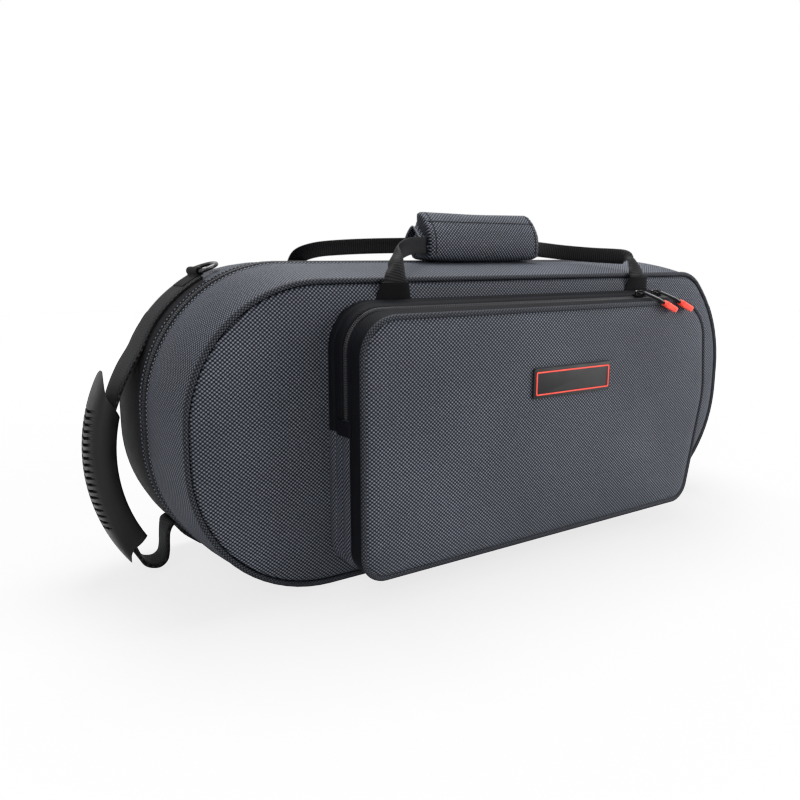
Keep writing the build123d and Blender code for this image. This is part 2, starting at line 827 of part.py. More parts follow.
# The main zip's sliders ride round the narrow end, their pulls hanging.
nose_centre = (case_length / 2 - nose_radius, nose_z)
toe_centre = (case_length / 2 - foot_radius, foot_radius)
hang_bend = (20, 0, 0)
hang_end = (34, 0, -3)


def end_sole(centre, radius, angle):
    """Frame of a slider on a corner of the seam, X pointing down along the zip."""
    foot = around(centre, radius + coil_proud + slider_clear, angle)
    outward = Vector(cos(radians(angle)), 0, sin(radians(angle)))
    return Plane(origin=place(*foot, 0), x_dir=outward.cross(Vector(0, -1, 0)), z_dir=outward)


upper_sole = end_sole(nose_centre, nose_radius, upper_slider_angle)
upper_path = pull_path(upper_sole, hang_bend, hang_end)
with BuildPart() as zip_slider_upper:
    slider(upper_sole)

with BuildPart() as zip_pull_tip_upper:
    pull_tip(upper_sole, upper_path)

with BuildPart() as zip_pull_upper:
    pull(upper_sole, upper_path)
    add(zip_pull_tip_upper.part, mode=Mode.SUBTRACT)

lower_sole = end_sole(toe_centre, foot_radius, lower_slider_angle)
lower_path = pull_path(lower_sole, hang_bend, hang_end)
with BuildPart() as zip_slider_lower:
    slider(lower_sole)

with BuildPart() as zip_pull_tip_lower:
    pull_tip(lower_sole, lower_path)

with BuildPart() as zip_pull_lower:
    pull(lower_sole, lower_path)
    add(zip_pull_tip_lower.part, mode=Mode.SUBTRACT)

# ================================================================ output
os.makedirs("parts", exist_ok=True)

base_shell.part.label = "base_shell"
export_step(base_shell.part, "parts/base_shell.step")

base_piping.part.label = "base_piping"
export_step(base_piping.part, "parts/base_piping.step")

base_foam.part.label = "base_foam"
export_step(base_foam.part, "parts/base_foam.step")

base_zip_tape.part.label = "base_zip_tape"
export_step(base_zip_tape.part, "parts/base_zip_tape.step")

base_zip_chain.part.label = "base_zip_chain"
export_step(base_zip_chain.part, "parts/base_zip_chain.step")

base_hinge_tape.part.label = "base_hinge_tape"
export_step(base_hinge_tape.part, "parts/base_hinge_tape.step")

cradle_strap.part.label = "cradle_strap"
export_step(cradle_strap.part, "parts/cradle_strap.step")

end_patch.part.label = "end_patch"
export_step(end_patch.part, "parts/end_patch.step")

end_strap.part.label = "end_strap"
export_step(end_strap.part, "parts/end_strap.step")

end_anchor.part.label = "end_anchor"
export_step(end_anchor.part, "parts/end_anchor.step")

end_ring_tab.part.label = "end_ring_tab"
export_step(end_ring_tab.part, "parts/end_ring_tab.step")

side_ring_tab.part.label = "side_ring_tab"
export_step(side_ring_tab.part, "parts/side_ring_tab.step")

rear_anchor_left.part.label = "rear_anchor_left"
export_step(rear_anchor_left.part, "parts/rear_anchor_left.step")

rear_anchor_right.part.label = "rear_anchor_right"
export_step(rear_anchor_right.part, "parts/rear_anchor_right.step")

lid_shell.part.label = "lid_shell"
export_step(lid_shell.part, "parts/lid_shell.step")

lid_piping.part.label = "lid_piping"
export_step(lid_piping.part, "parts/lid_piping.step")

lid_foam.part.label = "lid_foam"
export_step(lid_foam.part, "parts/lid_foam.step")

lid_zip_tape.part.label = "lid_zip_tape"
export_step(lid_zip_tape.part, "parts/lid_zip_tape.step")

lid_zip_chain.part.label = "lid_zip_chain"
export_step(lid_zip_chain.part, "parts/lid_zip_chain.step")

lid_hinge_tape.part.label = "lid_hinge_tape"
export_step(lid_hinge_tape.part, "parts/lid_hinge_tape.step")

front_anchor_left.part.label = "front_anchor_left"
export_step(front_anchor_left.part, "parts/front_anchor_left.step")

front_anchor_right.part.label = "front_anchor_right"
export_step(front_anchor_right.part, "parts/front_anchor_right.step")

pocket_gusset.part.label = "pocket_gusset"
export_step(pocket_gusset.part, "parts/pocket_gusset.step")

pocket_panel.part.label = "pocket_panel"
export_step(pocket_panel.part, "parts/pocket_panel.step")

pocket_piping.part.label = "pocket_piping"
export_step(pocket_piping.part, "parts/pocket_piping.step")

pocket_zip_tape.part.label = "pocket_zip_tape"
export_step(pocket_zip_tape.part, "parts/pocket_zip_tape.step")

pocket_zip_chain.part.label = "pocket_zip_chain"
export_step(pocket_zip_chain.part, "parts/pocket_zip_chain.step")

pocket_end_tab_left.part.label = "pocket_end_tab_left"
export_step(pocket_end_tab_left.part, "parts/pocket_end_tab_left.step")

pocket_end_tab_right.part.label = "pocket_end_tab_right"
export_step(pocket_end_tab_right.part, "parts/pocket_end_tab_right.step")

flap_gusset.part.label = "flap_gusset"
export_step(flap_gusset.part, "parts/flap_gusset.step")

flap_panel.part.label = "flap_panel"
export_step(flap_panel.part, "parts/flap_panel.step")

flap_piping.part.label = "flap_piping"
export_step(flap_piping.part, "parts/flap_piping.step")

flap_zip_tape.part.label = "flap_zip_tape"
export_step(flap_zip_tape.part, "parts/flap_zip_tape.step")

flap_zip_chain.part.label = "flap_zip_chain"
export_step(flap_zip_chain.part, "parts/flap_zip_chain.step")

label.part.label = "label"
export_step(label.part, "parts/label.step")

pocket_slider_left.part.label = "pocket_slider_left"
export_step(pocket_slider_left.part, "parts/pocket_slider_left.step")

pocket_slider_right.part.label = "pocket_slider_right"
export_step(pocket_slider_right.part, "parts/pocket_slider_right.step")

pocket_pull_left.part.label = "pocket_pull_left"
export_step(pocket_pull_left.part, "parts/pocket_pull_left.step")

pocket_pull_right.part.label = "pocket_pull_right"
export_step(pocket_pull_right.part, "parts/pocket_pull_right.step")

pocket_pull_tip_left.part.label = "pocket_pull_tip_left"
export_step(pocket_pull_tip_left.part, "parts/pocket_pull_tip_left.step")

pocket_pull_tip_right.part.label = "pocket_pull_tip_right"
export_step(pocket_pull_tip_right.part, "parts/pocket_pull_tip_right.step")

zip_slider_upper.part.label = "zip_slider_upper"
export_step(zip_slider_upper.part, "parts/zip_slider_upper.step")

zip_slider_lower.part.label = "zip_slider_lower"
export_step(zip_slider_lower.part, "parts/zip_slider_lower.step")

zip_pull_upper.part.label = "zip_pull_upper"
export_step(zip_pull_upper.part, "parts/zip_pull_upper.step")

zip_pull_lower.part.label = "zip_pull_lower"
export_step(zip_pull_lower.part, "parts/zip_pull_lower.step")

zip_pull_tip_upper.part.label = "zip_pull_tip_upper"
export_step(zip_pull_tip_upper.part, "parts/zip_pull_tip_upper.step")

zip_pull_tip_lower.part.label = "zip_pull_tip_lower"
export_step(zip_pull_tip_lower.part, "parts/zip_pull_tip_lower.step")

front_loop.part.label = "front_loop"
export_step(front_loop.part, "parts/front_loop.step")

front_wrap.part.label = "front_wrap"
export_step(front_wrap.part, "parts/front_wrap.step")

rear_loop.part.label = "rear_loop"
export_step(rear_loop.part, "parts/rear_loop.step")

rear_wrap.part.label = "rear_wrap"
export_step(rear_wrap.part, "parts/rear_wrap.step")

grip_strap.part.label = "grip_strap"
export_step(grip_strap.part, "parts/grip_strap.step")

end_grip.part.label = "end_grip"
export_step(end_grip.part, "parts/end_grip.step")

end_ring.part.label = "end_ring"
export_step(end_ring.part, "parts/end_ring.step")

side_ring.part.label = "side_ring"
export_step(side_ring.part, "parts/side_ring.step")
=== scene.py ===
import bmesh
import bpy
from math import acos, atan2, cos, pi, radians, sin, tan
from mathutils import Matrix, Vector, noise
from mathutils.bvhtree import BVHTree
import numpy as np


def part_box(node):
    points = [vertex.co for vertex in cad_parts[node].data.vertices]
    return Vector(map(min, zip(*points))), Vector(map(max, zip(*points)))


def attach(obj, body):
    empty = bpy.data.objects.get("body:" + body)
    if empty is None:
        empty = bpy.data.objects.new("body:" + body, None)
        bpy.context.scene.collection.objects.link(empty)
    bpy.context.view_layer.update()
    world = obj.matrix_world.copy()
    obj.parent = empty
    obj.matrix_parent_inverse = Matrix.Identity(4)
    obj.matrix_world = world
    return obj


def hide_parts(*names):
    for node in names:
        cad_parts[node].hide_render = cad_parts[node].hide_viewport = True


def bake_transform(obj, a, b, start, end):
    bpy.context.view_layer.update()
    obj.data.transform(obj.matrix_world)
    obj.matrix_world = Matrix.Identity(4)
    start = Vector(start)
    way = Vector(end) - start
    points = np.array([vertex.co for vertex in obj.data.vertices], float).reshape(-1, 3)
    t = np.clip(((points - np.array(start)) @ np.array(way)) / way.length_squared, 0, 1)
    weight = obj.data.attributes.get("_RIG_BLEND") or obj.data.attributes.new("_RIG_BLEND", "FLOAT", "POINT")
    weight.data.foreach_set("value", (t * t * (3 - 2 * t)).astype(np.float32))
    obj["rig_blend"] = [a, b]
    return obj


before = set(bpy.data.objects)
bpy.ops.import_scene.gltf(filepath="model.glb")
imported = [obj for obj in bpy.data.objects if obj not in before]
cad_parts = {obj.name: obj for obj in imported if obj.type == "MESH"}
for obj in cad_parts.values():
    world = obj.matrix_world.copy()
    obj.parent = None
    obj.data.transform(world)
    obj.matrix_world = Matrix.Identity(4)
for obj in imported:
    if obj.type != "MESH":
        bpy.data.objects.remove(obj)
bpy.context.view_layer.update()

# ---------------------------------------------------------------- the studio
# A white room: a floor that only takes the case's shadow, a big soft lamp high on the left,
# a second over the top and a weak one on the right. The room itself is white to the eye.
camera_data = bpy.data.cameras.new("Camera")
camera_data.lens = 33.75
camera_data.sensor_width = 36
camera = bpy.data.objects.new("Camera", camera_data)
camera.location = (-0.4194, -0.528, 0.2505)
camera.rotation_euler = (radians(90 - 10.89), 0, radians(-33.36))
bpy.context.scene.collection.objects.link(camera)
bpy.context.scene.camera = camera
bpy.context.scene.view_settings.view_transform = "Standard"


def soft_lamp(name, place, target, size, power):
    """A square soft lamp that looks at a point."""
    lamp = bpy.data.lights.new(name, "AREA")
    lamp.size = size
    lamp.energy = power
    holder = bpy.data.objects.new(name, lamp)
    holder.location = place
    holder.rotation_euler = (Vector(target) - Vector(place)).to_track_quat("-Z", "Y").to_euler()
    bpy.context.scene.collection.objects.link(holder)


soft_lamp("Key lamp", (-1.15, -1.15, 1.05), (-0.05, 0.0, 0.12), 1.0, 11)
soft_lamp("Top lamp", (0.15, 0.25, 1.5), (0.05, 0.0, 0.15), 0.9, 27)
soft_lamp("Side lamp", (1.3, -1.0, 0.6), (0.1, 0.0, 0.12), 0.9, 20)


def add_node(tree, kind, *values, **settings):
    """A shader node with its first sockets filled, in order, by numbers or by other sockets."""
    made = tree.nodes.new("ShaderNode" + kind)
    for key, value in settings.items():
        setattr(made, key, value)
    for socket, value in zip(made.inputs, values):
        if isinstance(value, bpy.types.NodeSocket):
            tree.links.new(value, socket)
        elif value is not None:
            socket.default_value = value
    return made.outputs[0]


def new_material(name, rough=0.5, shine=0.5):
    """An empty material: itself, its tree and its shader."""
    material = bpy.data.materials.new(name)
    material.use_nodes = True
    shader = material.node_tree.nodes["Principled BSDF"]
    shader.inputs["Roughness"].default_value = rough
    shader.inputs["Specular IOR Level"].default_value = shine
    return material, material.node_tree, shader


world = bpy.data.worlds.new("White room")
world.use_nodes = True
bpy.context.scene.world = world
sky = world.node_tree
sky.nodes.clear()
path = sky.nodes.new("ShaderNodeLightPath")
eye = add_node(sky, "Math", path.outputs["Is Camera Ray"], path.outputs["Is Glossy Ray"], operation="ADD")
eye = add_node(sky, "Math", eye, path.outputs["Is Transmission Ray"], operation="ADD", use_clamp=True)
dim = add_node(sky, "Background", (0.93, 0.96, 1.0, 1), 0.3)
bright = add_node(sky, "Background", (1, 1, 1, 1), 1.0)
both = add_node(sky, "MixShader", eye, dim, bright)
sky.links.new(both, sky.nodes.new("ShaderNodeOutputWorld").inputs[0])

floor_mesh = bmesh.new()
bmesh.ops.create_grid(floor_mesh, x_segments=1, y_segments=1, size=3)
floor_data = bpy.data.meshes.new("Floor")
floor_mesh.to_mesh(floor_data)
floor_mesh.free()
studio_floor = bpy.data.objects.new("Floor", floor_data)
bpy.context.scene.collection.objects.link(studio_floor)
studio_floor.is_shadow_catcher = True
floor_paint, floor_tree, floor_shader = new_material("Floor paint")
floor_shader.inputs["Base Color"].default_value = (0.9, 0.9, 0.9, 1)
floor_eye = floor_tree.nodes.new("ShaderNodeLightPath").outputs["Is Camera Ray"]
floor_glow = add_node(floor_tree, "Math", floor_eye, 5.0, operation="MULTIPLY")
floor_shader.inputs["Emission Color"].default_value = (1, 1, 1, 1)
floor_tree.links.new(floor_glow, floor_shader.inputs["Emission Strength"])
floor_data.materials.append(floor_paint)

# ---------------------------------------------------------------- rear half
# The rear half is a shallow tray of slate ballistic nylon sewn over stiff board: a gusset that
# follows the trumpet's outline and a padded rear panel. The gusset's edge is rolled at the zip.
low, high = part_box("base_zip_chain")
middle_x = (low[0] + high[0]) / 2
seam_y = low[1] - 0.00015
body_corners = [(-295, 0, 115), (-295, 246, 110), (240, 246, 50), (295, 188, 128), (295, 0, 118)]
base_depth = 80
base_taper = 2
base_crown = 1.3
base_seam = 3.2
rolled_edge = 9.3
rear_lean = (0, 2 / base_depth, 0)


def at(x, z, depth):
    """A point by its place on the seam plane and its depth in front of it, in mm."""
    return Vector((middle_x + x / 1000, seam_y - depth / 1000, z / 1000))


def outline_runs(corners):
    """The straights and arcs round an outline, clockwise from the middle of its first side."""
    points = [Vector((x, z)) for x, z, radius in corners]
    turns = []
    for i, (x, z, radius) in enumerate(corners):
        into = (points[i] - points[i - 1]).normalized()
        out = (points[(i + 1) % len(points)] - points[i]).normalized()
        turn = acos(max(-1, min(1, into.dot(out))))
        cut = radius * tan(turn / 2)
        inward = Vector((into.y, -into.x))
        turns.append((into, turn, cut, points[i] - into * cut + inward * radius, radius))
    runs = []
    for i, (into, turn, cut, centre, radius) in enumerate(turns):
        side = (points[i] - points[i - 1]).length
        if i == 0:
            runs.append((into, side / 2 - cut, None, radius))
        else:
            runs.append((into, side - cut - turns[i - 1][2], None, radius))
        runs.append((into, turn, centre, radius))
    last = (points[0] - points[-1]).length / 2 - turns[-1][2]
    runs.append((turns[0][0], last, None, 0))
    return (points[0] + points[-1]) / 2, runs


def grow(mesh, edges):
    """Extrudes a row of edges in place, and gives the new points and edges."""
    grown = bmesh.ops.extrude_edge_only(mesh, edges=edges)["geom"]
    return ([part for part in grown if isinstance(part, bmesh.types.BMVert)],
            [part for part in grown if isinstance(part, bmesh.types.BMEdge)])


def close_ends(mesh):
    """Fills the open ends of a tube."""
    bmesh.ops.holes_fill(mesh, edges=[edge for edge in mesh.edges if edge.is_boundary])


def follow(profile, corners, lean=(0, 0, 0), closed=False, straight=14, bend=5):
    """Sweeps a profile of (outset, depth) points in mm round an outline, with a UV map in metres."""
    start, runs = outline_runs(corners)
    mesh = bmesh.new()
    along = mesh.verts.layers.float.new("along")
    across = mesh.verts.layers.float.new("across")
    verts = []
    run_across = 0
    for i, (outset, depth) in enumerate(profile):
        vert = mesh.verts.new(at(start.x, start.y - outset, depth))
        if i:
            run_across += (vert.co - verts[-1].co).length
        vert[across] = run_across
        verts.append(vert)
    edges = [mesh.edges.new(pair) for pair in zip(verts, verts[1:])]
    girth = run_across + (verts[0].co - verts[-1].co).length
    if closed:
        edges.append(mesh.edges.new((verts[-1], verts[0])))
    travelled = 0
    for heading, amount, centre, radius in runs:
        if centre is None:
            steps = max(1, round(amount / straight))
        else:
            steps = max(2, round(amount / radians(bend)))
        for step in range(steps):
            verts, edges = grow(mesh, edges)
            if centre is None:
                move = Vector((heading.x, 0, heading.y)) * amount / steps / 1000
                bmesh.ops.translate(mesh, vec=move, verts=verts)
                travelled += amount / steps / 1000
            else:
                pivot = at(centre.x, centre.y, 0)
                turn = Matrix.Rotation(amount / steps, 3, "Y")
                bmesh.ops.rotate(mesh, cent=pivot, matrix=turn, verts=verts)
                travelled += radius * amount / steps / 1000
            for vert in verts:
                vert[along] = travelled
    cloth = mesh.loops.layers.uv.new("UVMap")
    for face in mesh.faces:
        widest = max(vert[across] for vert in face.verts)
        wraps = closed and widest - min(vert[across] for vert in face.verts) > run_across * 0.6
        for loop in face.loops:
            v = loop.vert[across]
            if wraps and v == 0:
                v = girth
            loop[cloth].uv = (loop.vert[along], v)
    slide_x, slide_z, from_depth = lean
    shear = Matrix.Identity(4)
    shear[0][1] = -slide_x
    shear[2][1] = -slide_z
    shear[0][3] = slide_x * (seam_y - from_depth / 1000)
    shear[2][3] = slide_z * (seam_y - from_depth / 1000)
    bmesh.ops.transform(mesh, matrix=shear, verts=mesh.verts)
    return mesh


def fill_middle(mesh, step=12):
    """Closes a panel inside its sewn border, and cuts it into a grid so that it can ripple."""
    across = mesh.verts.layers.float["across"]
    inner = max(vert[across] for vert in mesh.verts)
    rim = [edge for edge in mesh.edges
           if edge.is_boundary and all(v[across] > inner * 0.99 for v in edge.verts)]
    rim = [edge for edge in rim if len(edge.link_faces) == 1]
    whole = bmesh.ops.contextual_create(mesh, geom=rim)["faces"]
    centre = whole[0].calc_center_median()
    for axis, reach in ((0, 30), (2, 14)):
        for count in range(-reach, reach + 1):
            spot = centre.copy()
            spot[axis] += count * step / 1000
            normal = Vector((axis == 0, 0, axis == 2))
            part = set(whole)
            for face in whole:
                part.update(face.edges)
                part.update(face.verts)
            cut = bmesh.ops.bisect_plane(mesh, geom=list(part), dist=1e-6, plane_co=spot, plane_no=normal)
            whole = [item for item in cut["geom"] if isinstance(item, bmesh.types.BMFace)]


def map_cloth(mesh, place):
    """Gives a mesh its UV map in metres, by a place on the cloth for each point."""
    cloth = mesh.loops.layers.uv.get("UVMap") or mesh.loops.layers.uv.new("UVMap")
    for face in mesh.faces:
        for loop in face.loops:
            loop[cloth].uv = place(loop.vert)


def lay_flat_uv(mesh):
    """Cloth cut from flat stuff: its threads run level and upright."""
    map_cloth(mesh, lambda vert: (vert.co.x, vert.co.z))


def ripple(mesh, amount, scale=14, seed=0):
    """Pushes cloth in and out along Y by a slow, uneven wave, most in its middle."""
    across = mesh.verts.layers.float["across"]
    widest = max(vert[across] for vert in mesh.verts)
    for vert in mesh.verts:
        share = min(1, max(0, vert[across] / widest))
        wave = noise.noise(vert.co * scale + Vector((seed, 0, seed)))
        vert.co.y += wave * amount * share / 1000


def finish_piece(mesh, name, material, body=None, nodes=(), smooth=35):
    """Makes the object, closed at its seam and facing outwards, and hangs it on its body."""
    bmesh.ops.remove_doubles(mesh, verts=mesh.verts, dist=2e-6)
    bmesh.ops.recalc_face_normals(mesh, faces=mesh.faces)
    data = bpy.data.meshes.new(name)
    mesh.to_mesh(data)
    mesh.free()
    data.materials.append(material)
    data.shade_smooth()
    data.set_sharp_from_angle(angle=radians(smooth))
    piece = bpy.data.objects.new(name, data)
    bpy.context.scene.collection.objects.link(piece)
    if nodes:
        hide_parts(*nodes)
    if body:
        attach(piece, body)
    return piece


def coordinates(tree, kind):
    """The UV or Object coordinates."""
    return tree.nodes.new("ShaderNodeTexCoord").outputs[kind]


def split_up(tree, vector):
    """The X, Y and Z of a vector."""
    split = tree.nodes.new("ShaderNodeSeparateXYZ")
    tree.links.new(vector, split.inputs[0])
    return split.outputs


def paint(tree, shader, colour, strength=0, distance=0, height=None):
    """Leads a colour to the shader, and a height by way of a bump."""
    tree.links.new(colour, shader.inputs["Base Color"])
    if height:
        bump = add_node(tree, "Bump", strength, distance, None, height)
        tree.links.new(bump, shader.inputs["Normal"])


def woven_nylon(name, dark, light, cell=(0.0016, 0.0014), shine=0.12):
    """Ballistic nylon: heavy threads that show as bright dots in a chequer, dark between."""
    material, tree, shader = new_material(name, 0.62, shine)
    uv = coordinates(tree, "UV")
    wander = add_node(tree, "TexNoise", uv, None, 220.0, 1.0)
    wobble = add_node(tree, "VectorMath", wander, (0.5, 0.5, 0.5), operation="SUBTRACT")
    wobble = add_node(tree, "VectorMath", wobble, (0.0005, 0.0005, 0), operation="MULTIPLY")
    place = add_node(tree, "VectorMath", uv, wobble, operation="ADD")
    place = add_node(tree, "VectorMath", place, (pi / cell[0], pi / cell[1], 1), operation="MULTIPLY")
    waves = [add_node(tree, "Math", part, operation="SINE") for part in split_up(tree, place)[:2]]
    weave = add_node(tree, "Math", *waves, operation="MULTIPLY")
    dots = add_node(tree, "MapRange", weave, -0.25, 0.85, 0, 1, interpolation_type="SMOOTHSTEP")
    broad = add_node(tree, "TexNoise", uv, None, 9.0, 3.0)
    broad = add_node(tree, "MapRange", broad, 0.3, 0.7, 0.8, 1.12)
    fine = add_node(tree, "TexNoise", uv, None, 700.0, 2.0)
    fine = add_node(tree, "MapRange", fine, 0.3, 0.7, 0.75, 1.2)
    amount = add_node(tree, "Math", dots, fine, operation="MULTIPLY")
    colour = add_node(tree, "MixRGB", amount, (*dark, 1), (*light, 1))
    colour = add_node(tree, "VectorMath", colour, broad, operation="MULTIPLY")
    paint(tree, shader, colour, 0.55, 0.00035, amount)
    return material


nylon = woven_nylon("Slate ballistic nylon", (0.0035, 0.004, 0.006), (0.175, 0.19, 0.23))


def gusset_profile(side, depth, taper, crown, piping):
    """From the foam, round the rolled edge at the zip, over the crowned side to the piping."""
    start = [(-3.0, 10.5), (-3.0, 8.2), (-1.5, 8.0), (-0.9, 7.4)]
    start += [(-0.1, 7.0), (0.6, 7.2), (0.9, 7.9), (0.6, 8.7)]
    start.append((0.05, rolled_edge))
    profile = [(outset - taper * at_depth / depth, side * at_depth) for outset, at_depth in start]
    count = 12
    for i in range(1, count + 1):
        share = i / count
        at_depth = rolled_edge + (depth - piping - rolled_edge) * share
        swell = crown * sin(pi * share) ** 0.7
        profile.append((swell - taper * at_depth / depth, side * at_depth))
    profile.append((-taper - 0.9, side * (depth - piping * 0.35)))
    return profile


mesh = follow(gusset_profile(-1, base_depth, base_taper, base_crown, base_seam), body_corners, rear_lean)
gusset = finish_piece(mesh, "rear_gusset", nylon, "base", ["base_shell"])

rear_border = [(-6.0, -79.6), (-7.2, -80.1), (-10, -80.7), (-15, -81.3), (-22, -81.8), (-32, -82.1)]
rear_border.append((-42, -82.2))
mesh = follow(rear_border, body_corners, rear_lean)
fill_middle(mesh)
lay_flat_uv(mesh)
ripple(mesh, 0.7, seed=3)
rear_panel = finish_piece(mesh, "rear_panel", nylon, "base")

# ---------------------------------------------------------------- rear piping
# A cord covered in the same nylon, cut on the bias and sewn into the seam between the gusset and
# the panel, so that the corner keeps its line and takes the rubbing.
piping_cloth = woven_nylon("Piping nylon", (0.0025, 0.003, 0.0045), (0.075, 0.081, 0.098), (0.0015, 0.0013))


def cord_profile(outset, depth, radius, sides=10):
    """A round cord's section, as (outset, depth) points."""
    turns = [2 * pi * i / sides for i in range(sides)]
    return [(outset + radius * cos(turn), depth + radius * sin(turn)) for turn in turns]


mesh = follow(cord_profile(-2 - 2.5, -80, 2.3), body_corners, rear_lean, closed=True)
piece = finish_piece(mesh, "rear_piping", piping_cloth, "base", ["base_piping"], smooth=60)

# ---------------------------------------------------------------- front half
# The lid is the same tray, a little deeper in its taper: it leans back and towards the round end,
# and its front panel is padded, so it stands proud inside its piping.
lid_depth = 75
lid_taper = 10
lid_lean = (-3 / lid_depth, -3 / lid_depth, 0)
mesh = follow(gusset_profile(1, lid_depth, lid_taper, 1.7, 2.6), body_corners, lid_lean)
piece = finish_piece(mesh, "front_gusset", nylon, "lid", ["lid_shell"])

front_border = [(-12.6, 73.8), (-12.9, 75.0), (-13.8, 76.2), (-16, 77.1), (-20, 77.8), (-27, 78.2)]
front_border += [(-36, 78.4), (-46, 78.5)]
mesh = follow(front_border, body_corners, lid_lean)
fill_middle(mesh)
lay_flat_uv(mesh)
ripple(mesh, 1.7, 11, seed=8)
piece = finish_piece(mesh, "front_panel", nylon, "lid")

mesh = follow(cord_profile(-10.2, 74.9, 2.0), body_corners, lid_lean, closed=True)
piece = finish_piece(mesh, "front_piping", piping_cloth, "lid", ["lid_piping"], smooth=60)

# ---------------------------------------------------------------- main zip
# Two polyester tapes sewn under the rolled edges and a spiral nylon coil on each, which mesh on
# the seam. They run all the way round except under the case, where a fabric tape is the hinge.
hinge_half = 196
hinge_top = 58


def zip_tape(name, colour, light):
    """Polyester tape in a fine herringbone."""
    material, tree, shader = new_material(name, 0.75, 0.1)
    uv = coordinates(tree, "UV")
    run, width, _ = split_up(tree, uv)
    zigzag = add_node(tree, "Math", width, 0.0024, operation="PINGPONG")
    slant = add_node(tree, "Math", run, zigzag, operation="ADD")
    ribs = add_node(tree, "Math", slant, 2 * pi / 0.0011, operation="MULTIPLY")
    ribs = add_node(tree, "Math", ribs, operation="SINE")
    ribs = add_node(tree, "MapRange", ribs, -0.8, 0.9, 0, 1)
    grain = add_node(tree, "TexNoise", uv, None, 900.0, 2.0)
    ribs = add_node(tree, "Math", ribs, grain, operation="MULTIPLY")
    shade = add_node(tree, "MixRGB", ribs, (*colour, 1), (*light, 1))
    paint(tree, shader, shade, 0.4, 0.0002, ribs)
    return material


tape = zip_tape("Zip tape", (0.0016, 0.0016, 0.0024), (0.016, 0.0165, 0.021))


def coil_nylon(name):
    """Spiral coil: bright slanting turns with dark gaps."""
    material, tree, shader = new_material(name, 0.42, 0.22)
    uv = coordinates(tree, "UV")
    run, width, _ = split_up(tree, uv)
    turns = add_node(tree, "Math", run, 2 * pi / 0.0017, operation="MULTIPLY")
    turns = add_node(tree, "Math", turns, operation="SINE")
    turns = add_node(tree, "MapRange", turns, -0.5, 0.7, 0, 1, interpolation_type="SMOOTHSTEP")
    shade = add_node(tree, "MixRGB", turns, (0.0012, 0.0012, 0.002, 1), (0.022, 0.023, 0.028, 1))
    paint(tree, shader, shade, 0.9, 0.0006, turns)
    return material


coil = coil_nylon("Zip coil")


def cut_away(mesh, inside):
    """Removes the faces whose middle is in a region."""
    gone = [face for face in mesh.faces if inside(face.calc_center_median())]
    bmesh.ops.delete(mesh, geom=gone, context="FACES")


def cut_at(mesh, place, normal):
    """Cuts a mesh along a plane, so that a region ends cleanly there."""
    part = list(mesh.verts) + list(mesh.edges) + list(mesh.faces)
    bmesh.ops.bisect_plane(mesh, geom=part, dist=1e-6, plane_co=place, plane_no=normal)


def under_case(point):
    """True where the hinge takes the place of the zip."""
    return abs(point.x - middle_x) < hinge_half / 1000 and point.z < hinge_top / 1000


def end_at_hinge(mesh):
    """Ends a strip on both sides of the hinge."""
    for edge in (-1, 1):
        cut_at(mesh, at(edge * hinge_half, 0, 0), (1, 0, 0))
    cut_away(mesh, under_case)
    close_ends(mesh)


for side, body, half, lean in ((-1, "base", "rear", rear_lean), (1, "lid", "front", lid_lean)):
    taper = base_taper / base_depth if side < 0 else lid_taper / lid_depth
    band = [(-1, 0.15), (-0.95, 2.5), (-1.0, 4), (-0.9, 8.0), (-2, 8.0), (-2, 0.15)]
    mesh = follow([(o - taper * d, side * d) for o, d in band], body_corners, lean, closed=True)
    end_at_hinge(mesh)
    node = "base" if side < 0 else "lid"
    piece = finish_piece(mesh, half + "_zip_tape", tape, body, [node + "_zip_tape"])
    teeth = [(-1, 0.15), (0.0, 0.15), (0.5, 0.5), (0.6, 1.1), (0.35, 1.8), (-0.3, 2.2), (-1, 2.25)]
    mesh = follow([(o - taper * d, side * d) for o, d in teeth], body_corners, lean, closed=True)
    end_at_hinge(mesh)
    piece = finish_piece(mesh, half + "_zip_coil", coil, body, [node + "_zip_chain"])
    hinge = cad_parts[node + "_hinge_tape"]
    hinge.data.materials.clear()
    hinge.data.materials.append(tape)

# ---------------------------------------------------------------- front pocket
# An expanding pocket over most of the lid. Its side is a strip of nylon, then the pocket zip over
# the top, then a rim strip. The front panel is sewn to the rim over a rope-like piping.
pocket_corners = [(-183, 19, 24), (-183, 219, 34), (197, 219, 44), (207, 127, 90), (184, 19, 24)]
pocket_depth = 45
pocket_taper = 6
pocket_shift = 2
pocket_drop = 4
pocket_lean = (-pocket_shift / pocket_depth, -pocket_drop / pocket_depth, lid_depth)
fold_z = 136
fold_start = at(0, 131, 122.3)
fold_end = at(0, 141, 122.3)


def pocket_line(points):
    """A section of the pocket's side, from (proud, reach out of the lid) points."""
    return [(proud - pocket_taper * reach / pocket_depth, lid_depth + reach) for proud, reach in points]


def below_fold(point):
    """True under the line where the pocket's flap folds."""
    return point.z < fold_z / 1000


def thicken(mesh, thick):
    """Gives cloth a second side, inwards."""
    bmesh.ops.remove_doubles(mesh, verts=mesh.verts, dist=2e-6)
    bmesh.ops.recalc_face_normals(mesh, faces=mesh.faces)
    bmesh.ops.solidify(mesh, geom=mesh.faces, thickness=thick / 1000)


def fold_rows(mesh):
    """Extra rows of points where the pocket's flap bends."""
    for height in (131, 133.5, 136, 138.5, 141):
        cut_at(mesh, at(0, height, 0), (0, 0, 1))


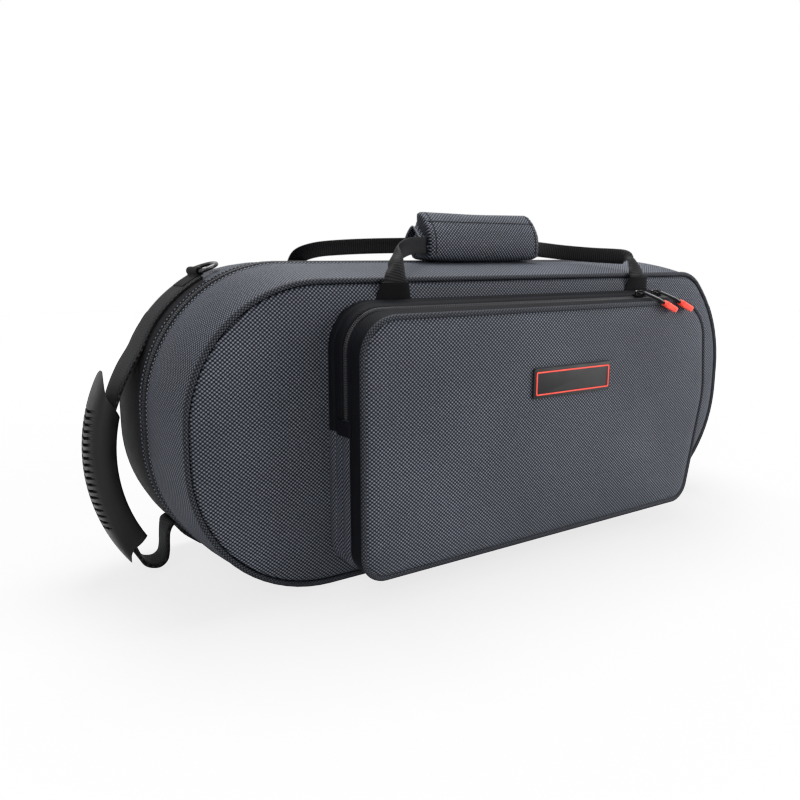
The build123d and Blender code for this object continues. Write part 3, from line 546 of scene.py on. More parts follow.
rim_cloth = woven_nylon("Rim nylon", (0.0012, 0.0013, 0.002), (0.011, 0.012, 0.016), (0.0011, 0.0009), 0.06)
back_strip = [(-0.5, 2.5), (0.5, 3.4), (1.0, 5), (1.2, 7.5), (0.9, 10.2), (0.1, 11.2), (0.5, 12), (0.8, 14.5)]
back_strip += [(0.7, 17.4), (0.3, 19.2), (-0.7, 20.0), (-1.6, 19.8)]
mesh = follow(pocket_line(back_strip), pocket_corners, pocket_lean)
cut_at(mesh, at(0, fold_z - 10, 0), (0, 0, 1))
thicken(mesh, 0.8)
for face in mesh.faces:
    face.material_index = 1 if face.calc_center_median().z > (fold_z - 10) / 1000 else 0
piece = finish_piece(mesh, "pocket_side", nylon, "lid", ["pocket_gusset"])
piece.data.materials.append(rim_cloth)

middle_strip = [(-0.6, 18.6), (0.2, 20.2), (0.5, 24), (0.2, 28.0), (-0.6, 29.4)]
mesh = follow(pocket_line(middle_strip), pocket_corners, pocket_lean)
fold_rows(mesh)
cut_away(mesh, lambda point: point.z > fold_z / 1000)
thicken(mesh, 0.8)
piece = finish_piece(mesh, "pocket_side_middle", nylon, "lid")

rim_strip = [(-1.7, 28.6), (-0.8, 28.2), (0.1, 28.8), (0.7, 31)]
rim_strip += [(0.8, 34.5), (0.6, 38), (0.1, 41.2), (-0.7, 43.6)]
mesh = follow(pocket_line(rim_strip), pocket_corners, pocket_lean)
fold_rows(mesh)
thicken(mesh, 0.8)
piece = finish_piece(mesh, "pocket_rim", rim_cloth, None, ["flap_gusset"])
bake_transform(piece, "lid", "pocket_flap", start=fold_start, end=fold_end)

pocket_border = [(-7.2, 119.9), (-8.2, 121.0), (-10.5, 121.9), (-14, 122.6), (-18, 122.9), (-23, 123.0)]
mesh = follow(pocket_border, pocket_corners, pocket_lean)
fill_middle(mesh, 10)
fold_rows(mesh)
lay_flat_uv(mesh)
ripple(mesh, 1.1, 9, seed=21)
thicken(mesh, 0.9)
piece = finish_piece(mesh, "pocket_front", nylon, None, ["pocket_panel", "flap_panel"])
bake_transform(piece, "lid", "pocket_flap", start=fold_start, end=fold_end)

mesh = follow(cord_profile(-6, 120, 2.15), pocket_corners, pocket_lean, closed=True)
fold_rows(mesh)
piece = finish_piece(mesh, "pocket_front_piping", piping_cloth, None,
                     ["pocket_piping", "flap_piping"], smooth=60)
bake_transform(piece, "lid", "pocket_flap", start=fold_start, end=fold_end)

# ---------------------------------------------------------------- pocket zip
# The same tapes and coil, smaller, round the top of the pocket down to the fold on each side. A
# folded tab of nylon is sewn over each end of the zip.
def end_at_fold(mesh):
    """Ends a strip at the pocket's fold."""
    cut_at(mesh, at(0, fold_z + 0.3, 0), (0, 0, 1))
    cut_away(mesh, below_fold)
    close_ends(mesh)


for node, body, start, end in (("pocket", "lid", 19.4, 23.85), ("flap", "pocket_flap", 24.15, 28.9)):
    band = [(-1.0, start), (-1.0, end), (-1.9, end), (-1.9, start)]
    mesh = follow(pocket_line(band), pocket_corners, pocket_lean, closed=True)
    end_at_fold(mesh)
    piece = finish_piece(mesh, "pocket_tape_" + body, tape, body, [node + "_zip_tape"])
    edge, away = (end, -1) if node == "pocket" else (start, 1)
    teeth = [(-1.1, edge), (0.1, edge), (0.5, edge + 0.3 * away), (0.6, edge + 0.8 * away)]
    teeth += [(0.3, edge + 1.3 * away), (-0.4, edge + 1.6 * away), (-1.1, edge + 1.6 * away)]
    mesh = follow(pocket_line(teeth), pocket_corners, pocket_lean, closed=True)
    end_at_fold(mesh)
    piece = finish_piece(mesh, "pocket_coil_" + body, coil, body, [node + "_zip_chain"])

tab_section = [(1.2, 15.2), (2.0, 16.2), (2.3, 20), (2.2, 27)]
tab_section += [(2.0, 31.3), (1.3, 32.6), (0.3, 31.8), (0.3, 16)]
for hand, side in (("left", -1), ("right", 1)):
    mesh = follow(pocket_line(tab_section), pocket_corners, pocket_lean, closed=True)
    for height in (124.5, 136):
        cut_at(mesh, at(0, height, 0), (0, 0, 1))
    cut_away(mesh, lambda p: not 0.1245 < p.z < 0.136 or (p.x - middle_x) * side < 0)
    close_ends(mesh)
    piece = finish_piece(mesh, "zip_end_tab_" + hand, rim_cloth, "lid", ["pocket_end_tab_" + hand])
    bend = piece.modifiers.new("Worn edges", "BEVEL")
    bend.width = 0.0005
    bend.segments = 2

# ---------------------------------------------------------------- rubber tag
# A soft rubber tag sewn on the pocket, black, with a thin coral line moulded round it. The middle
# is bare.
def soft_rubber(name, colour, rough=0.5, grain=0.00004):
    """Moulded rubber: a fine, slightly uneven matt skin."""
    material, tree, shader = new_material(name, rough, 0.22)
    place = coordinates(tree, "Object")
    blotch = add_node(tree, "TexNoise", place, None, 60.0, 3.0)
    shade = add_node(tree, "MapRange", blotch, 0.3, 0.7, 0.8, 1.2)
    tint = add_node(tree, "VectorMath", colour, shade, operation="MULTIPLY")
    pits = add_node(tree, "TexNoise", place, None, 2600.0, 2.0)
    paint(tree, shader, tint, 0.5, grain, pits)
    gloss = add_node(tree, "MapRange", blotch, 0.3, 0.7, rough - 0.06, rough + 0.08)
    tree.links.new(gloss, shader.inputs["Roughness"])
    return material


def rounded_plate(size, thin, radius, segments):
    """A plate of rubber with round corners: its size, and which axis is its thickness."""
    mesh = bmesh.new()
    bmesh.ops.create_cube(mesh, size=1)
    bmesh.ops.scale(mesh, vec=size, verts=mesh.verts)
    uprights = [edge for edge in mesh.edges
                if abs(edge.verts[0].co[thin] - edge.verts[1].co[thin]) > size[thin] / 2]
    bmesh.ops.bevel(mesh, geom=uprights, offset=radius, segments=segments, affect="EDGES",
                    profile=0.5, material=-1)
    return mesh


black_rubber = soft_rubber("Black rubber", (0.006, 0.006, 0.007))
coral = soft_rubber("Coral rubber", (1.0, 0.085, 0.055), 0.42)
mesh = rounded_plate((0.088, 0.0032, 0.0245), 1, 0.0022, 4)
front = min(mesh.faces, key=lambda face: face.calc_center_median().y)
bmesh.ops.bevel(mesh, geom=list(front.edges), offset=0.0005, segments=2, affect="EDGES",
                profile=0.5, material=-1)
bmesh.ops.translate(mesh, vec=at(18, 151, 123.6), verts=mesh.verts)
tag = finish_piece(mesh, "rubber_tag", black_rubber, "pocket_flap", ["label"], smooth=30)

mesh = rounded_plate((0.0828, 0.0006, 0.0188), 1, 0.0014, 4)
faces = [face for face in mesh.faces if abs(face.normal.y) > 0.9]
bmesh.ops.inset_individual(mesh, faces=faces, thickness=0.00095, use_even_offset=True)
faces = [face for face in mesh.faces if abs(face.normal.y) > 0.9]
faces = sorted(faces, key=lambda face: -face.calc_area())[:2]
bmesh.ops.bridge_loops(mesh, edges=[edge for face in faces for edge in face.edges])
bmesh.ops.delete(mesh, geom=faces, context="FACES")
bmesh.ops.translate(mesh, vec=at(18, 151, 125.3), verts=mesh.verts)
piece = finish_piece(mesh, "rubber_tag_line", coral, "pocket_flap", smooth=30)

# ---------------------------------------------------------------- plush lining
# Both halves are filled with foam covered in black plush and shaped to the trumpet. The edges of
# every hollow are soft, so the shapes are remeshed and rubbed smooth.
def plush(name, colour):
    """Short plush: a mottled pile that catches light at its edges."""
    material, tree, shader = new_material(name, 0.9, 0.15)
    place = coordinates(tree, "Object")
    pile = add_node(tree, "TexNoise", place, None, 900.0, 3.0)
    brushed = add_node(tree, "TexNoise", place, None, 26.0, 3.0)
    brushed = add_node(tree, "MapRange", brushed, 0.3, 0.7, 0.65, 1.3)
    shade = add_node(tree, "MixRGB", pile, (*[c * 0.4 for c in colour], 1), (*[c * 1.8 for c in colour], 1))
    shade = add_node(tree, "VectorMath", shade, brushed, operation="MULTIPLY")
    paint(tree, shader, shade, 0.8, 0.0006, pile)
    shader.inputs["Sheen Weight"].default_value = 0.2
    shader.inputs["Sheen Roughness"].default_value = 0.4
    return material


def remesh(piece, voxel, rounds=0):
    """Rebuilds a piece in even faces, and rubs its edges round for some rounds."""
    grid = piece.modifiers.new("Remesh", "REMESH")
    grid.mode = "VOXEL"
    grid.voxel_size = voxel
    if rounds:
        rub = piece.modifiers.new("Rub", "SMOOTH")
        rub.factor = 0.5
        rub.iterations = rounds
    bpy.context.view_layer.update()
    seen = piece.evaluated_get(bpy.context.evaluated_depsgraph_get())
    piece.data = bpy.data.meshes.new_from_object(seen)
    piece.modifiers.clear()


def rubbed_smooth(node, name, material, body, voxel, rounds):
    """A soft piece over a plain solid: the solid remeshed, with its edges rubbed round."""
    mesh = bmesh.new()
    mesh.from_mesh(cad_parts[node].data)
    bmesh.ops.remove_doubles(mesh, verts=mesh.verts, dist=1e-5)
    data = bpy.data.meshes.new(name)
    mesh.to_mesh(data)
    mesh.free()
    piece = bpy.data.objects.new(name, data)
    bpy.context.scene.collection.objects.link(piece)
    remesh(piece, voxel, rounds)
    piece.data.materials.clear()
    piece.data.materials.append(material)
    piece.data.shade_smooth()
    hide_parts(node)
    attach(piece, body)
    return piece


lining = plush("Black plush", (0.0065, 0.0065, 0.008))
for node, body in (("base_foam", "base"), ("lid_foam", "lid")):
    piece = rubbed_smooth(node, node + "_plush", lining, body, 0.0045, 3)

# ---------------------------------------------------------------- webbing
# Black polypropylene webbing with fine ribs across it, used for the carrying handle.
def ribbed_webbing(name, dark, light, rib=0.0019):
    """Webbing with ribs across its run, each broken by the threads that cross it."""
    material, tree, shader = new_material(name, 0.6, 0.1)
    uv = coordinates(tree, "UV")
    run, width, _ = split_up(tree, uv)
    ribs = add_node(tree, "Math", run, 2 * pi / rib, operation="MULTIPLY")
    ribs = add_node(tree, "Math", ribs, operation="SINE")
    ribs = add_node(tree, "MapRange", ribs, -0.6, 0.9, 0, 1, interpolation_type="SMOOTHSTEP")
    threads = add_node(tree, "Math", width, 2 * pi / 0.0011, operation="MULTIPLY")
    threads = add_node(tree, "Math", threads, operation="SINE")
    threads = add_node(tree, "MapRange", threads, -1, 1, 0.45, 1)
    weave = add_node(tree, "Math", ribs, threads, operation="MULTIPLY")
    fuzz = add_node(tree, "TexNoise", uv, None, 600.0, 3.0)
    weave = add_node(tree, "Math", weave, fuzz, operation="MULTIPLY")
    shade = add_node(tree, "MixRGB", weave, (*dark, 1), (*light, 1))
    paint(tree, shader, shade, 0.6, 0.0004, weave)
    return material


webbing_cloth = ribbed_webbing("Black webbing", (0.0016, 0.0016, 0.002), (0.04, 0.04, 0.044))
piece = rubbed_smooth("cradle_strap", "cradle_band", lining, "base", 0.0009, 3)


def smooth_between(values, steps):
    """More values on a smooth curve through the given ones."""
    full = []
    last = len(values) - 1
    for i in range(last):
        before, here, after, later = values[max(0, i - 1)], values[i], values[i + 1], values[min(last, i + 2)]
        for step in range(steps):
            t = step / steps
            pull = (before * 2 - here * 5 + after * 4 - later) * t * t
            swing = (here * 3 - before - after * 3 + later) * t ** 3
            full.append((here * 2 + (after - before) * t + pull + swing) * 0.5)
    full.append(values[-1])
    return full


def webbing_run(stations, thick=1.8, steps=6, rows=8):
    """Webbing through stations of (x, z, depth), the way its width points, width and curl, in mm."""
    centres = smooth_between([at(*place) for place, side, width, curl in stations], steps)
    sides = [Vector((side[0], -side[2], side[1])) for place, side, width, curl in stations]
    sides = smooth_between(sides, steps)
    widths = smooth_between([width / 1000 for place, side, width, curl in stations], steps)
    curls = smooth_between([curl / 1000 for place, side, width, curl in stations], steps)
    mesh = bmesh.new()
    order = mesh.verts.layers.int.new("order")
    along = mesh.verts.layers.float.new("along")
    across = mesh.verts.layers.float.new("across")
    verts = []
    for i in range(2 * rows + 2):
        vert = mesh.verts.new(centres[0])
        vert[order] = i
        verts.append(vert)
    edges = [mesh.edges.new((verts[i - 1], verts[i])) for i in range(len(verts))]
    travelled = 0
    for n, centre in enumerate(centres):
        if n:
            verts, edges = grow(mesh, edges)
            travelled += (centre - centres[n - 1]).length
        ahead = centres[min(n + 1, len(centres) - 1)] - centres[max(n - 1, 0)]
        side = sides[n].normalized()
        side = (side - ahead.normalized() * side.dot(ahead.normalized())).normalized()
        up = side.cross(ahead).normalized()
        for vert in verts:
            i = vert[order]
            share = 2 * i / rows - 1 if i <= rows else 1 - 2 * (i - rows - 1) / rows
            lift = thick / 2000 * (1 if i <= rows else -1)
            if abs(share) > 0.99:
                lift *= 0.5
            vert.co = centre + side * share * widths[n] / 2 + up * (curls[n] * (1 - share ** 2) + lift)
            vert[along] = travelled
            vert[across] = share * widths[n] / 2
    close_ends(mesh)
    map_cloth(mesh, lambda vert: (vert[along], vert[across]))
    return mesh


# ---------------------------------------------------------------- top handle
# Each half carries one loop of webbing, sewn at its two ends inside a tab on the panel. It comes
# over the piping, folds lengthwise and turns on edge, and runs into the padded wrap.
handle_middle = 9
half_span = 136
foot_left = handle_middle - half_span
foot_right = handle_middle + half_span
front_left = [
    ((foot_left, 226.5, 79.3), (1, 0, 0), 21, 0),
    ((foot_left + 0.8, 233.5, 79.6), (1, 0, 0), 18.5, 0.6),
    ((foot_left + 3.5, 240.5, 76.8), (1, 0.1, 0.2), 13, 2),
    ((foot_left + 6.5, 246.3, 71.5), (1, 0.6, 0.3), 12, 3),
    ((foot_left + 14, 251.8, 62.5), (-0.1, 1, 0.3), 13, 2),
    ((foot_left + 29, 256.3, 50), (-0.25, 1, 0.15), 13.5, 1),
    ((foot_left + 47, 258.6, 36), (-0.1, 1, 0.1), 13.5, 0.5),
    ((-60, 259.4, 22), (0, 1, 0), 13.5, 0.4),
    ((-40, 259.6, 11), (0, 1, 0), 13.5, 0.4),
]
front_right = [
    ((foot_right - 2, 226.5, 79.3), (1, 0, 0), 19, 0),
    ((foot_right - 2.5, 233, 79.6), (1, 0, 0), 17, 0.6),
    ((foot_right, 239.4, 75.8), (1, -0.1, 0.2), 14, 2),
    ((foot_right + 2, 245, 69.5), (1, -0.6, 0.3), 12.5, 3),
    ((foot_right + 0.5, 249, 63), (0.5, 1, 0.3), 13.5, 1.6),
    ((foot_right - 4.5, 250, 55.5), (0.25, 1, 0.2), 14, 0.8),
    ((foot_right - 18, 251.2, 38), (0.1, 1, 0.1), 14, 0.5),
    ((106, 253.6, 20), (0, 1, 0), 14, 0.4),
    ((86, 256, 12), (0, 1, 0), 14, 0.4),
    ((62, 258, 10.5), (0, 1, 0), 14, 0.4),
]
rear_left = [
    ((foot_left, 233, -83.4), (-1, 0, 0), 21, 0),
    ((foot_left - 1, 240, -84.1), (-1, 0, 0), 19, 0.6),
    ((foot_left - 2, 246.2, -82), (-1, 0.1, -0.2), 16, 2),
    ((foot_left, 252, -74), (-0.7, 1, -0.3), 14, 2),
    ((foot_left + 9, 256, -60.5), (-0.2, 1, -0.2), 13.5, 1),
    ((foot_left + 24.5, 257.8, -46), (0, 1, 0), 13.5, 0.5),
    ((foot_left + 46, 258.9, -32), (0, 1, 0), 13.5, 0.4),
    ((-58, 259.4, -19), (0, 1, 0), 13.5, 0.4),
    ((-40, 259.6, -10.5), (0, 1, 0), 13.5, 0.4),
]
rear_right = [
    ((foot_right, 233, -83.4), (-1, 0, 0), 21, 0),
    ((foot_right + 1, 240, -84.1), (-1, 0, 0), 19, 0.6),
    ((foot_right + 2, 246.2, -82), (-1, -0.1, -0.2), 16, 2),
    ((foot_right, 251.5, -74), (-0.7, -1, -0.3), 14, 2),
    ((foot_right - 9, 255, -60.5), (-0.2, -1, -0.2), 13.5, 1),
    ((foot_right - 24.5, 256.5, -46), (0, -1, 0), 13.5, 0.5),
    ((foot_right - 46, 257.6, -32), (0, -1, 0), 13.5, 0.4),
    ((82, 258.4, -19), (0, -1, 0), 13.5, 0.4),
    ((62, 259, -10.5), (0, -1, 0), 13.5, 0.4),
]
for name, stations, body, node in (
    ("front_webbing_left", front_left, "front_handle", "front_loop"),
    ("front_webbing_right", front_right, "front_handle", "front_loop"),
    ("rear_webbing_left", rear_left, "rear_handle", "rear_loop"),
    ("rear_webbing_right", rear_right, "rear_handle", "rear_loop"),
):
    piece = finish_piece(webbing_run(stations), name, webbing_cloth, body, [node], smooth=60)

# The tab at each end of a loop is plain black cloth, wider at its foot, with a turned-over top.
tab_cloth = woven_nylon("Tab cloth", (0.002, 0.002, 0.0025), (0.014, 0.014, 0.016), (0.0009, 0.0008), 0.06)
for node, foot_x, side, panel, top in (
    ("front_anchor_left", foot_left, 1, 76.2, 229),
    ("front_anchor_right", foot_right, 1, 76.2, 229),
    ("rear_anchor_left", foot_left, -1, 81.2, 236),
    ("rear_anchor_right", foot_right, -1, 81.2, 236),
):
    out = side * panel
    tab = [
        ((foot_x, top - 13, out - side * 1.5), (1, 0, 0), 32, 0),
        ((foot_x, top - 11, out + side * 1.3), (1, 0, 0), 31, side * 0.4),
        ((foot_x, top - 5, out + side * 2.6), (1, 0, 0), 28, side * 0.8),
        ((foot_x, top, out + side * 3.9), (1, 0, 0), 25, side * 1.0),
        ((foot_x, top + 2.4, out + side * 4.6), (1, 0, 0), 24, side * 1.0),
    ]
    piece = finish_piece(webbing_run(tab, 2.0, 4, 8), node + "_tab", tab_cloth,
                         "lid" if side > 0 else "base", [node], smooth=60)

# ---------------------------------------------------------------- padded wrap
# A sleeve of the same nylon over foam closes round both loops. It is two padded halves that part
# when the case opens, with a line of stitching near the top and a small folded flap at one end.
wrap_line = [(0.6, 248), (6, 247.2), (12, 246.6), (19.5, 246.9), (23.4, 250.3), (24.4, 260)]
wrap_line += [(21.8, 271), (14, 282), (6.5, 287.6), (0.6, 288.4)]
wrap_middle = 262
wrap_end = 72


def blown_up(piece, cap, pressure=4.0, voxel=0.0028):
    """Pads a closed cloth shape: it is blown up as cloth for a moment, and held to a limit."""
    remesh(piece, voxel)
    before = [vert.co.copy() for vert in piece.data.vertices]
    cloth = piece.modifiers.new("Cloth", "CLOTH")
    cloth.settings.quality = 5
    cloth.settings.mass = 0.3
    cloth.settings.use_pressure = True
    cloth.settings.uniform_pressure_force = pressure
    cloth.settings.effector_weights.gravity = 0
    cloth.point_cache.frame_start = 1
    cloth.point_cache.frame_end = 20
    for step in range(1, 21):
        bpy.context.scene.frame_set(step)
    seen = piece.evaluated_get(bpy.context.evaluated_depsgraph_get())
    after = [vert.co.copy() for vert in seen.data.vertices]
    piece.modifiers.clear()
    bpy.context.scene.frame_set(1)
    for vert, old, new in zip(piece.data.vertices, before, after):
        move = new - old
        if move.length > cap:
            move = move.normalized() * cap
        vert.co = old + move


def round_the_wrap(vert):
    """A place on the wrap's cloth, whose threads run along it and round it."""
    turn = atan2(vert.co.z - wrap_middle / 1000, abs(seam_y - vert.co.y) + 0.004)
    return vert.co.x, turn * 0.026


for side, name, body, node, left in (
    (1, "front_wrap_pad", "front_handle", "front_wrap", -54),
    (-1, "rear_wrap_pad", "rear_handle", "rear_wrap", -43),
):
    mesh = bmesh.new()
    verts = [mesh.verts.new(at(left, z, side * depth)) for depth, z in wrap_line]
    edges = [mesh.edges.new((verts[i - 1], verts[i])) for i in range(len(verts))]
    for step in range(21):
        verts, edges = grow(mesh, edges)
        bmesh.ops.translate(mesh, vec=((wrap_end - left) / 21000, 0, 0), verts=verts)
    close_ends(mesh)
    pad = finish_piece(mesh, name, nylon, body, [node])
    blown_up(pad, 0.0009)
    mesh = bmesh.new()
    mesh.from_mesh(pad.data)
    for vert in mesh.verts:
        if (seam_y - vert.co.y) * side < 0.0004:
            vert.co.y = seam_y - side * 0.0004
    bmesh.ops.subdivide_edges(mesh, edges=mesh.edges, cuts=1, use_grid_fill=True)
    map_cloth(mesh, round_the_wrap)
    mesh.to_mesh(pad.data)
    mesh.free()
    pad.data.materials.clear()
    pad.data.materials.append(nylon)
    pad.data.shade_smooth()

# A line of stitches runs along the wrap, near its top.
thread = soft_rubber("Dark thread", (0.004, 0.004, 0.005), 0.7, 0.0002)


def round_cord(points, radius, sides=8, closed=False):
    """A cord, wire or seam thread of round section along points in the part's own frame."""
    mesh = bmesh.new()
    along = mesh.verts.layers.float.new("along")
    turn = mesh.verts.layers.int.new("turn")
    count = len(points)
    verts = []
    edges = []
    first = None
    side = None
    travelled = 0
    for n, point in enumerate(points):
        ahead = points[(n + 1) % count] if closed or n + 1 < count else point
        behind = points[n - 1] if closed or n else point
        heading = (ahead - behind).normalized()
        if side is None:
            side = heading.cross(Vector((0, 0, 1)) if abs(heading.z) < 0.8 else Vector((0, 1, 0)))
        side = (side - heading * side.dot(heading)).normalized()
        up = heading.cross(side)
        if n == 0:
            verts = [mesh.verts.new(point) for i in range(sides)]
            for i, vert in enumerate(verts):
                vert[turn] = i
            edges = [mesh.edges.new((verts[i - 1], verts[i])) for i in range(sides)]
            first = list(edges)
        else:
            verts, edges = grow(mesh, edges)
            travelled += (point - points[n - 1]).length
        for vert in verts:
            angle = 2 * pi * vert[turn] / sides
            vert.co = point + side * cos(angle) * radius + up * sin(angle) * radius
            vert[along] = travelled
    if closed:
        bmesh.ops.bridge_loops(mesh, edges=first + edges)
    else:
        close_ends(mesh)
    map_cloth(mesh, lambda vert: (vert[along], vert[turn] * 2 * pi * radius / sides))
    return mesh


for name, body, pad_name, side in (
    ("front_wrap_stitch", "front_handle", "front_wrap_pad", 1),
    ("rear_wrap_stitch", "rear_handle", "rear_wrap_pad", -1),
):
    skin = bmesh.new()
    skin.from_mesh(bpy.data.objects[pad_name].data)
    tree = BVHTree.FromBMesh(skin)
    skin.free()
    first = -51.5 if side > 0 else -41
    rays = [[(at(first + (70 - first) * i / 60, 279.5, side * 45), Vector((0, side, 0))) for i in range(61)]]
    for x in ((-48, 66.5) if side > 0 else (-37.5, 66.5)):
        turns = [radians(-24 + 100 * i / 30) for i in range(31)]
        rays.append([(at(x, wrap_middle + 60 * sin(t), side * 60 * cos(t)),
                      Vector((0, side * cos(t), -sin(t)))) for t in turns])
    for row, line in enumerate(rays):
        hits = [tree.ray_cast(start, heading)[0] for start, heading in line]
        row_mesh = round_cord([hit for hit in hits if hit], 0.0005, 6)
        piece = finish_piece(row_mesh, name + str(row), thread, body, smooth=80)

# The folded flap at the wrap's round end, with its bound edge.
flap_line = [(-8, 258), (-7, 264), (-2.5, 270.5), (4, 275.5), (9, 272), (15, 266), (21, 258)]
peak = smooth_between([Vector((depth, z, 0)) for depth, z in flap_line], 3)
mesh = bmesh.new()
verts = [mesh.verts.new(at(-59.5, spot.y, spot.x)) for spot in peak]
edges = [mesh.edges.new(pair) for pair in zip(verts, verts[1:])]
for step in range(4):
    verts, edges = grow(mesh, edges)
    bmesh.ops.translate(mesh, vec=(0.0018, 0, 0), verts=verts)
lay_flat_uv(mesh)
thicken(mesh, 1.4)
piece = finish_piece(mesh, "wrap_inner_flap", nylon, "front_handle")
binding = soft_rubber("Light binding", (0.12, 0.125, 0.135), 0.7, 0.0003)
points = [at(-59.6, spot.y, spot.x) for spot in peak]
piece = finish_piece(round_cord(points, 0.0008, 8), "wrap_flap_binding", binding, "front_handle", smooth=80)

# ---------------------------------------------------------------- end strap
# A wide strap of heavy black webbing is sewn round the bell end. Under it a black cloth sheet over the
# rear gusset is painted shade, for the shade that the strap and grip cast there. The strap stands off
# as the end handle, and is folded back on itself below and sewn on again.
strap_weave = woven_nylon("Strap weave", (0.0035, 0.0035, 0.004), (0.036, 0.0365, 0.04),
                          (0.0022, 0.0018), 0.08)


def rear_swell(depth):
    """How far the rear gusset stands out at a depth behind the seam, in mm."""
    share = min(1, max(0, (depth - rolled_edge) / (base_depth - base_seam - rolled_edge)))
    return base_crown * sin(pi * share) ** 0.7 - base_taper * depth / base_depth


# Painted shade: this black sheet darkens the rear gusset at the bell end, where the strap and grip shade it.
painted_shade_rows = [(9.6, -0.6), (10, 0.6), (20, 0.8), (30, 0.8), (40, 0.8), (50, 0.8), (60, 0.8)]
painted_shade_rows += [(75.4, 0.8), (76, -0.6)]
painted_shade_patch = [(rear_swell(depth) + lift, -depth) for depth, lift in painted_shade_rows]
mesh = follow(painted_shade_patch, body_corners, rear_lean, bend=4)
for height in (50, 232):
    cut_at(mesh, at(0, height, 0), (0, 0, 1))
cut_away(mesh, lambda p: not 0.05 < p.z < 0.232 or p.x > middle_x - 0.1475)
thicken(mesh, 0.7)
piece = finish_piece(mesh, "end_patch_cloth", tab_cloth, "base", ["end_patch"])


strap_depth = -40
strap_across = (0, 0, 1)


def round_corner(centre, radius, angle):
    """A place on a round corner of the case, by its angle from +X."""
    turn = radians(angle)
    return (centre[0] + radius * cos(turn), centre[1] + radius * sin(turn), strap_depth)


def strap_stations(places):
    """Stations of the end strap from (x, z, depth, width): it always lies across the case."""
    return [((x, z, depth), strap_across, width, 0) for x, z, depth, width in places]


bell_centre = (-185, 135)
foot_centre = (-180, 114)
sewn_angles = (118, 122, 128, 134, 140, 145)
upper = strap_stations([(*round_corner(bell_centre, 112.3, angle), 36) for angle in sewn_angles] + [
    (-288, 181.5, -38, 37),
    (-298, 166, -37, 40),
    (-306.5, 148, -37.5, 39),
    (-312.5, 128, -40, 34),
    (-315, 105, -40, 34),
    (-315.5, 80, -40, 33),
    (-312.5, 62, -40, 33),
])
piece = finish_piece(webbing_run(upper, 3.0, 5, 10), "end_webbing_upper", strap_weave, None,
                     ["end_strap", "grip_strap"], smooth=60)
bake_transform(piece, "base", "end_handle", start=at(-299, 168, strap_depth), end=at(-308, 148, strap_depth))

lower = strap_stations([
    (-313, 64, -40, 33),
    (-308.5, 46, -40, 34),
    (-301.5, 26, -40, 34),
    (-296.5, 14.5, -38.5, 31),
    (-291.5, 8.6, -37, 28),
    (-284, 7.2, -36, 26),
    (-278.4, 11, -35, 25),
    (-276.4, 18, -35, 25),
    (-275.8, 27, -35, 25),
    (-275, 34, -35, 25),
    (-272, 38.6, -36, 26),
    (-268, 38, -37, 28),
    (-264.8, 34, -38.5, 31),
] + [(*round_corner(foot_centre, 117.0, angle), 34) for angle in (226, 229, 234)])
piece = finish_piece(webbing_run(lower, 3.0, 5, 10), "end_webbing_lower", strap_weave, None,
                     ["end_anchor"], smooth=60)
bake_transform(piece, "base", "end_handle", start=at(-278.6, 20, strap_depth), end=at(-289, 20, strap_depth))

# ---------------------------------------------------------------- rubber grip
# A moulded leaf of black rubber closes round the strap. Its two ends are drawn to a point over the
# middle, and nineteen finger slots with rounded ends run across its back.
grip_rubber = soft_rubber("Grip rubber", (0.0062, 0.0056, 0.0064), 0.42, 0.00003)


def arc_through(first, middle, last):
    """Centre and radius of the circle through three places on the handle's plane."""
    ax, az = first
    bx, bz = middle
    cx, cz = last
    d = 2 * (ax * (bz - cz) + bx * (cz - az) + cx * (az - bz))
    a = ax * ax + az * az
    b = bx * bx + bz * bz
    c = cx * cx + cz * cz
    x = (a * (bz - cz) + b * (cz - az) + c * (az - bz)) / d
    z = (a * (cx - bx) + b * (ax - cx) + c * (bx - ax)) / d
    return Vector((x, z)), (Vector((x, z)) - Vector(first)).length


def angle_of(place, centre):
    """The angle of a place round an arc's centre, from 0 to a full turn."""
    return atan2(place[1] - centre.y, place[0] - centre.x) % (2 * pi)


back_line = [(-314, 165), (-331, 88), (-302, 9)]
palm_line = [(-305, 137), (-310, 88), (-289, 31)]
back_centre, back_radius = arc_through(*back_line)
palm_centre, palm_radius = arc_through(*palm_line)
back_start = angle_of(back_line[0], back_centre)
back_end = angle_of(back_line[-1], back_centre)
palm_start = angle_of(palm_line[0], palm_centre)
palm_end = angle_of(palm_line[-1], palm_centre)
half_section = [(0, 0), (0.15, 4), (0.5, 8), (1.3, 12), (2.6, 15.5), (4.6, 18.3), (7.2, 20.1), (10, 20.9)]
half_section += [(13, 21.0), (16, 20.7), (18.6, 20.2), (20.3, 19.6)]
lengths = [0]
for one, two in zip(half_section, half_section[1:]):
    lengths.append(lengths[-1] + (Vector(two) - Vector(one)).length)
reach_by_end = [(0, 0.1), (0.015, 0.24), (0.04, 0.4), (0.07, 0.52), (0.1, 0.64), (0.13, 0.8)]
reach_by_end += [(0.165, 1.0), (1, 1.0)]


def read_table(table, value):
    """Straight-line reading of a table of (place, amount) pairs."""
    for (a, low_amount), (b, high_amount) in zip(table, table[1:]):
        if value <= b:
            return low_amount + (high_amount - low_amount) * max(0, value - a) / (b - a)
    return table[-1][1]


def section_point(share):
    """A point of the grip's half section by the share of its length from the ridge."""
    aim = share * lengths[-1]
    for i in range(len(lengths) - 1):
        if aim <= lengths[i + 1]:
            part = (aim - lengths[i]) / (lengths[i + 1] - lengths[i])
            return Vector(half_section[i]).lerp(Vector(half_section[i + 1]), part)
    return Vector(half_section[-1])


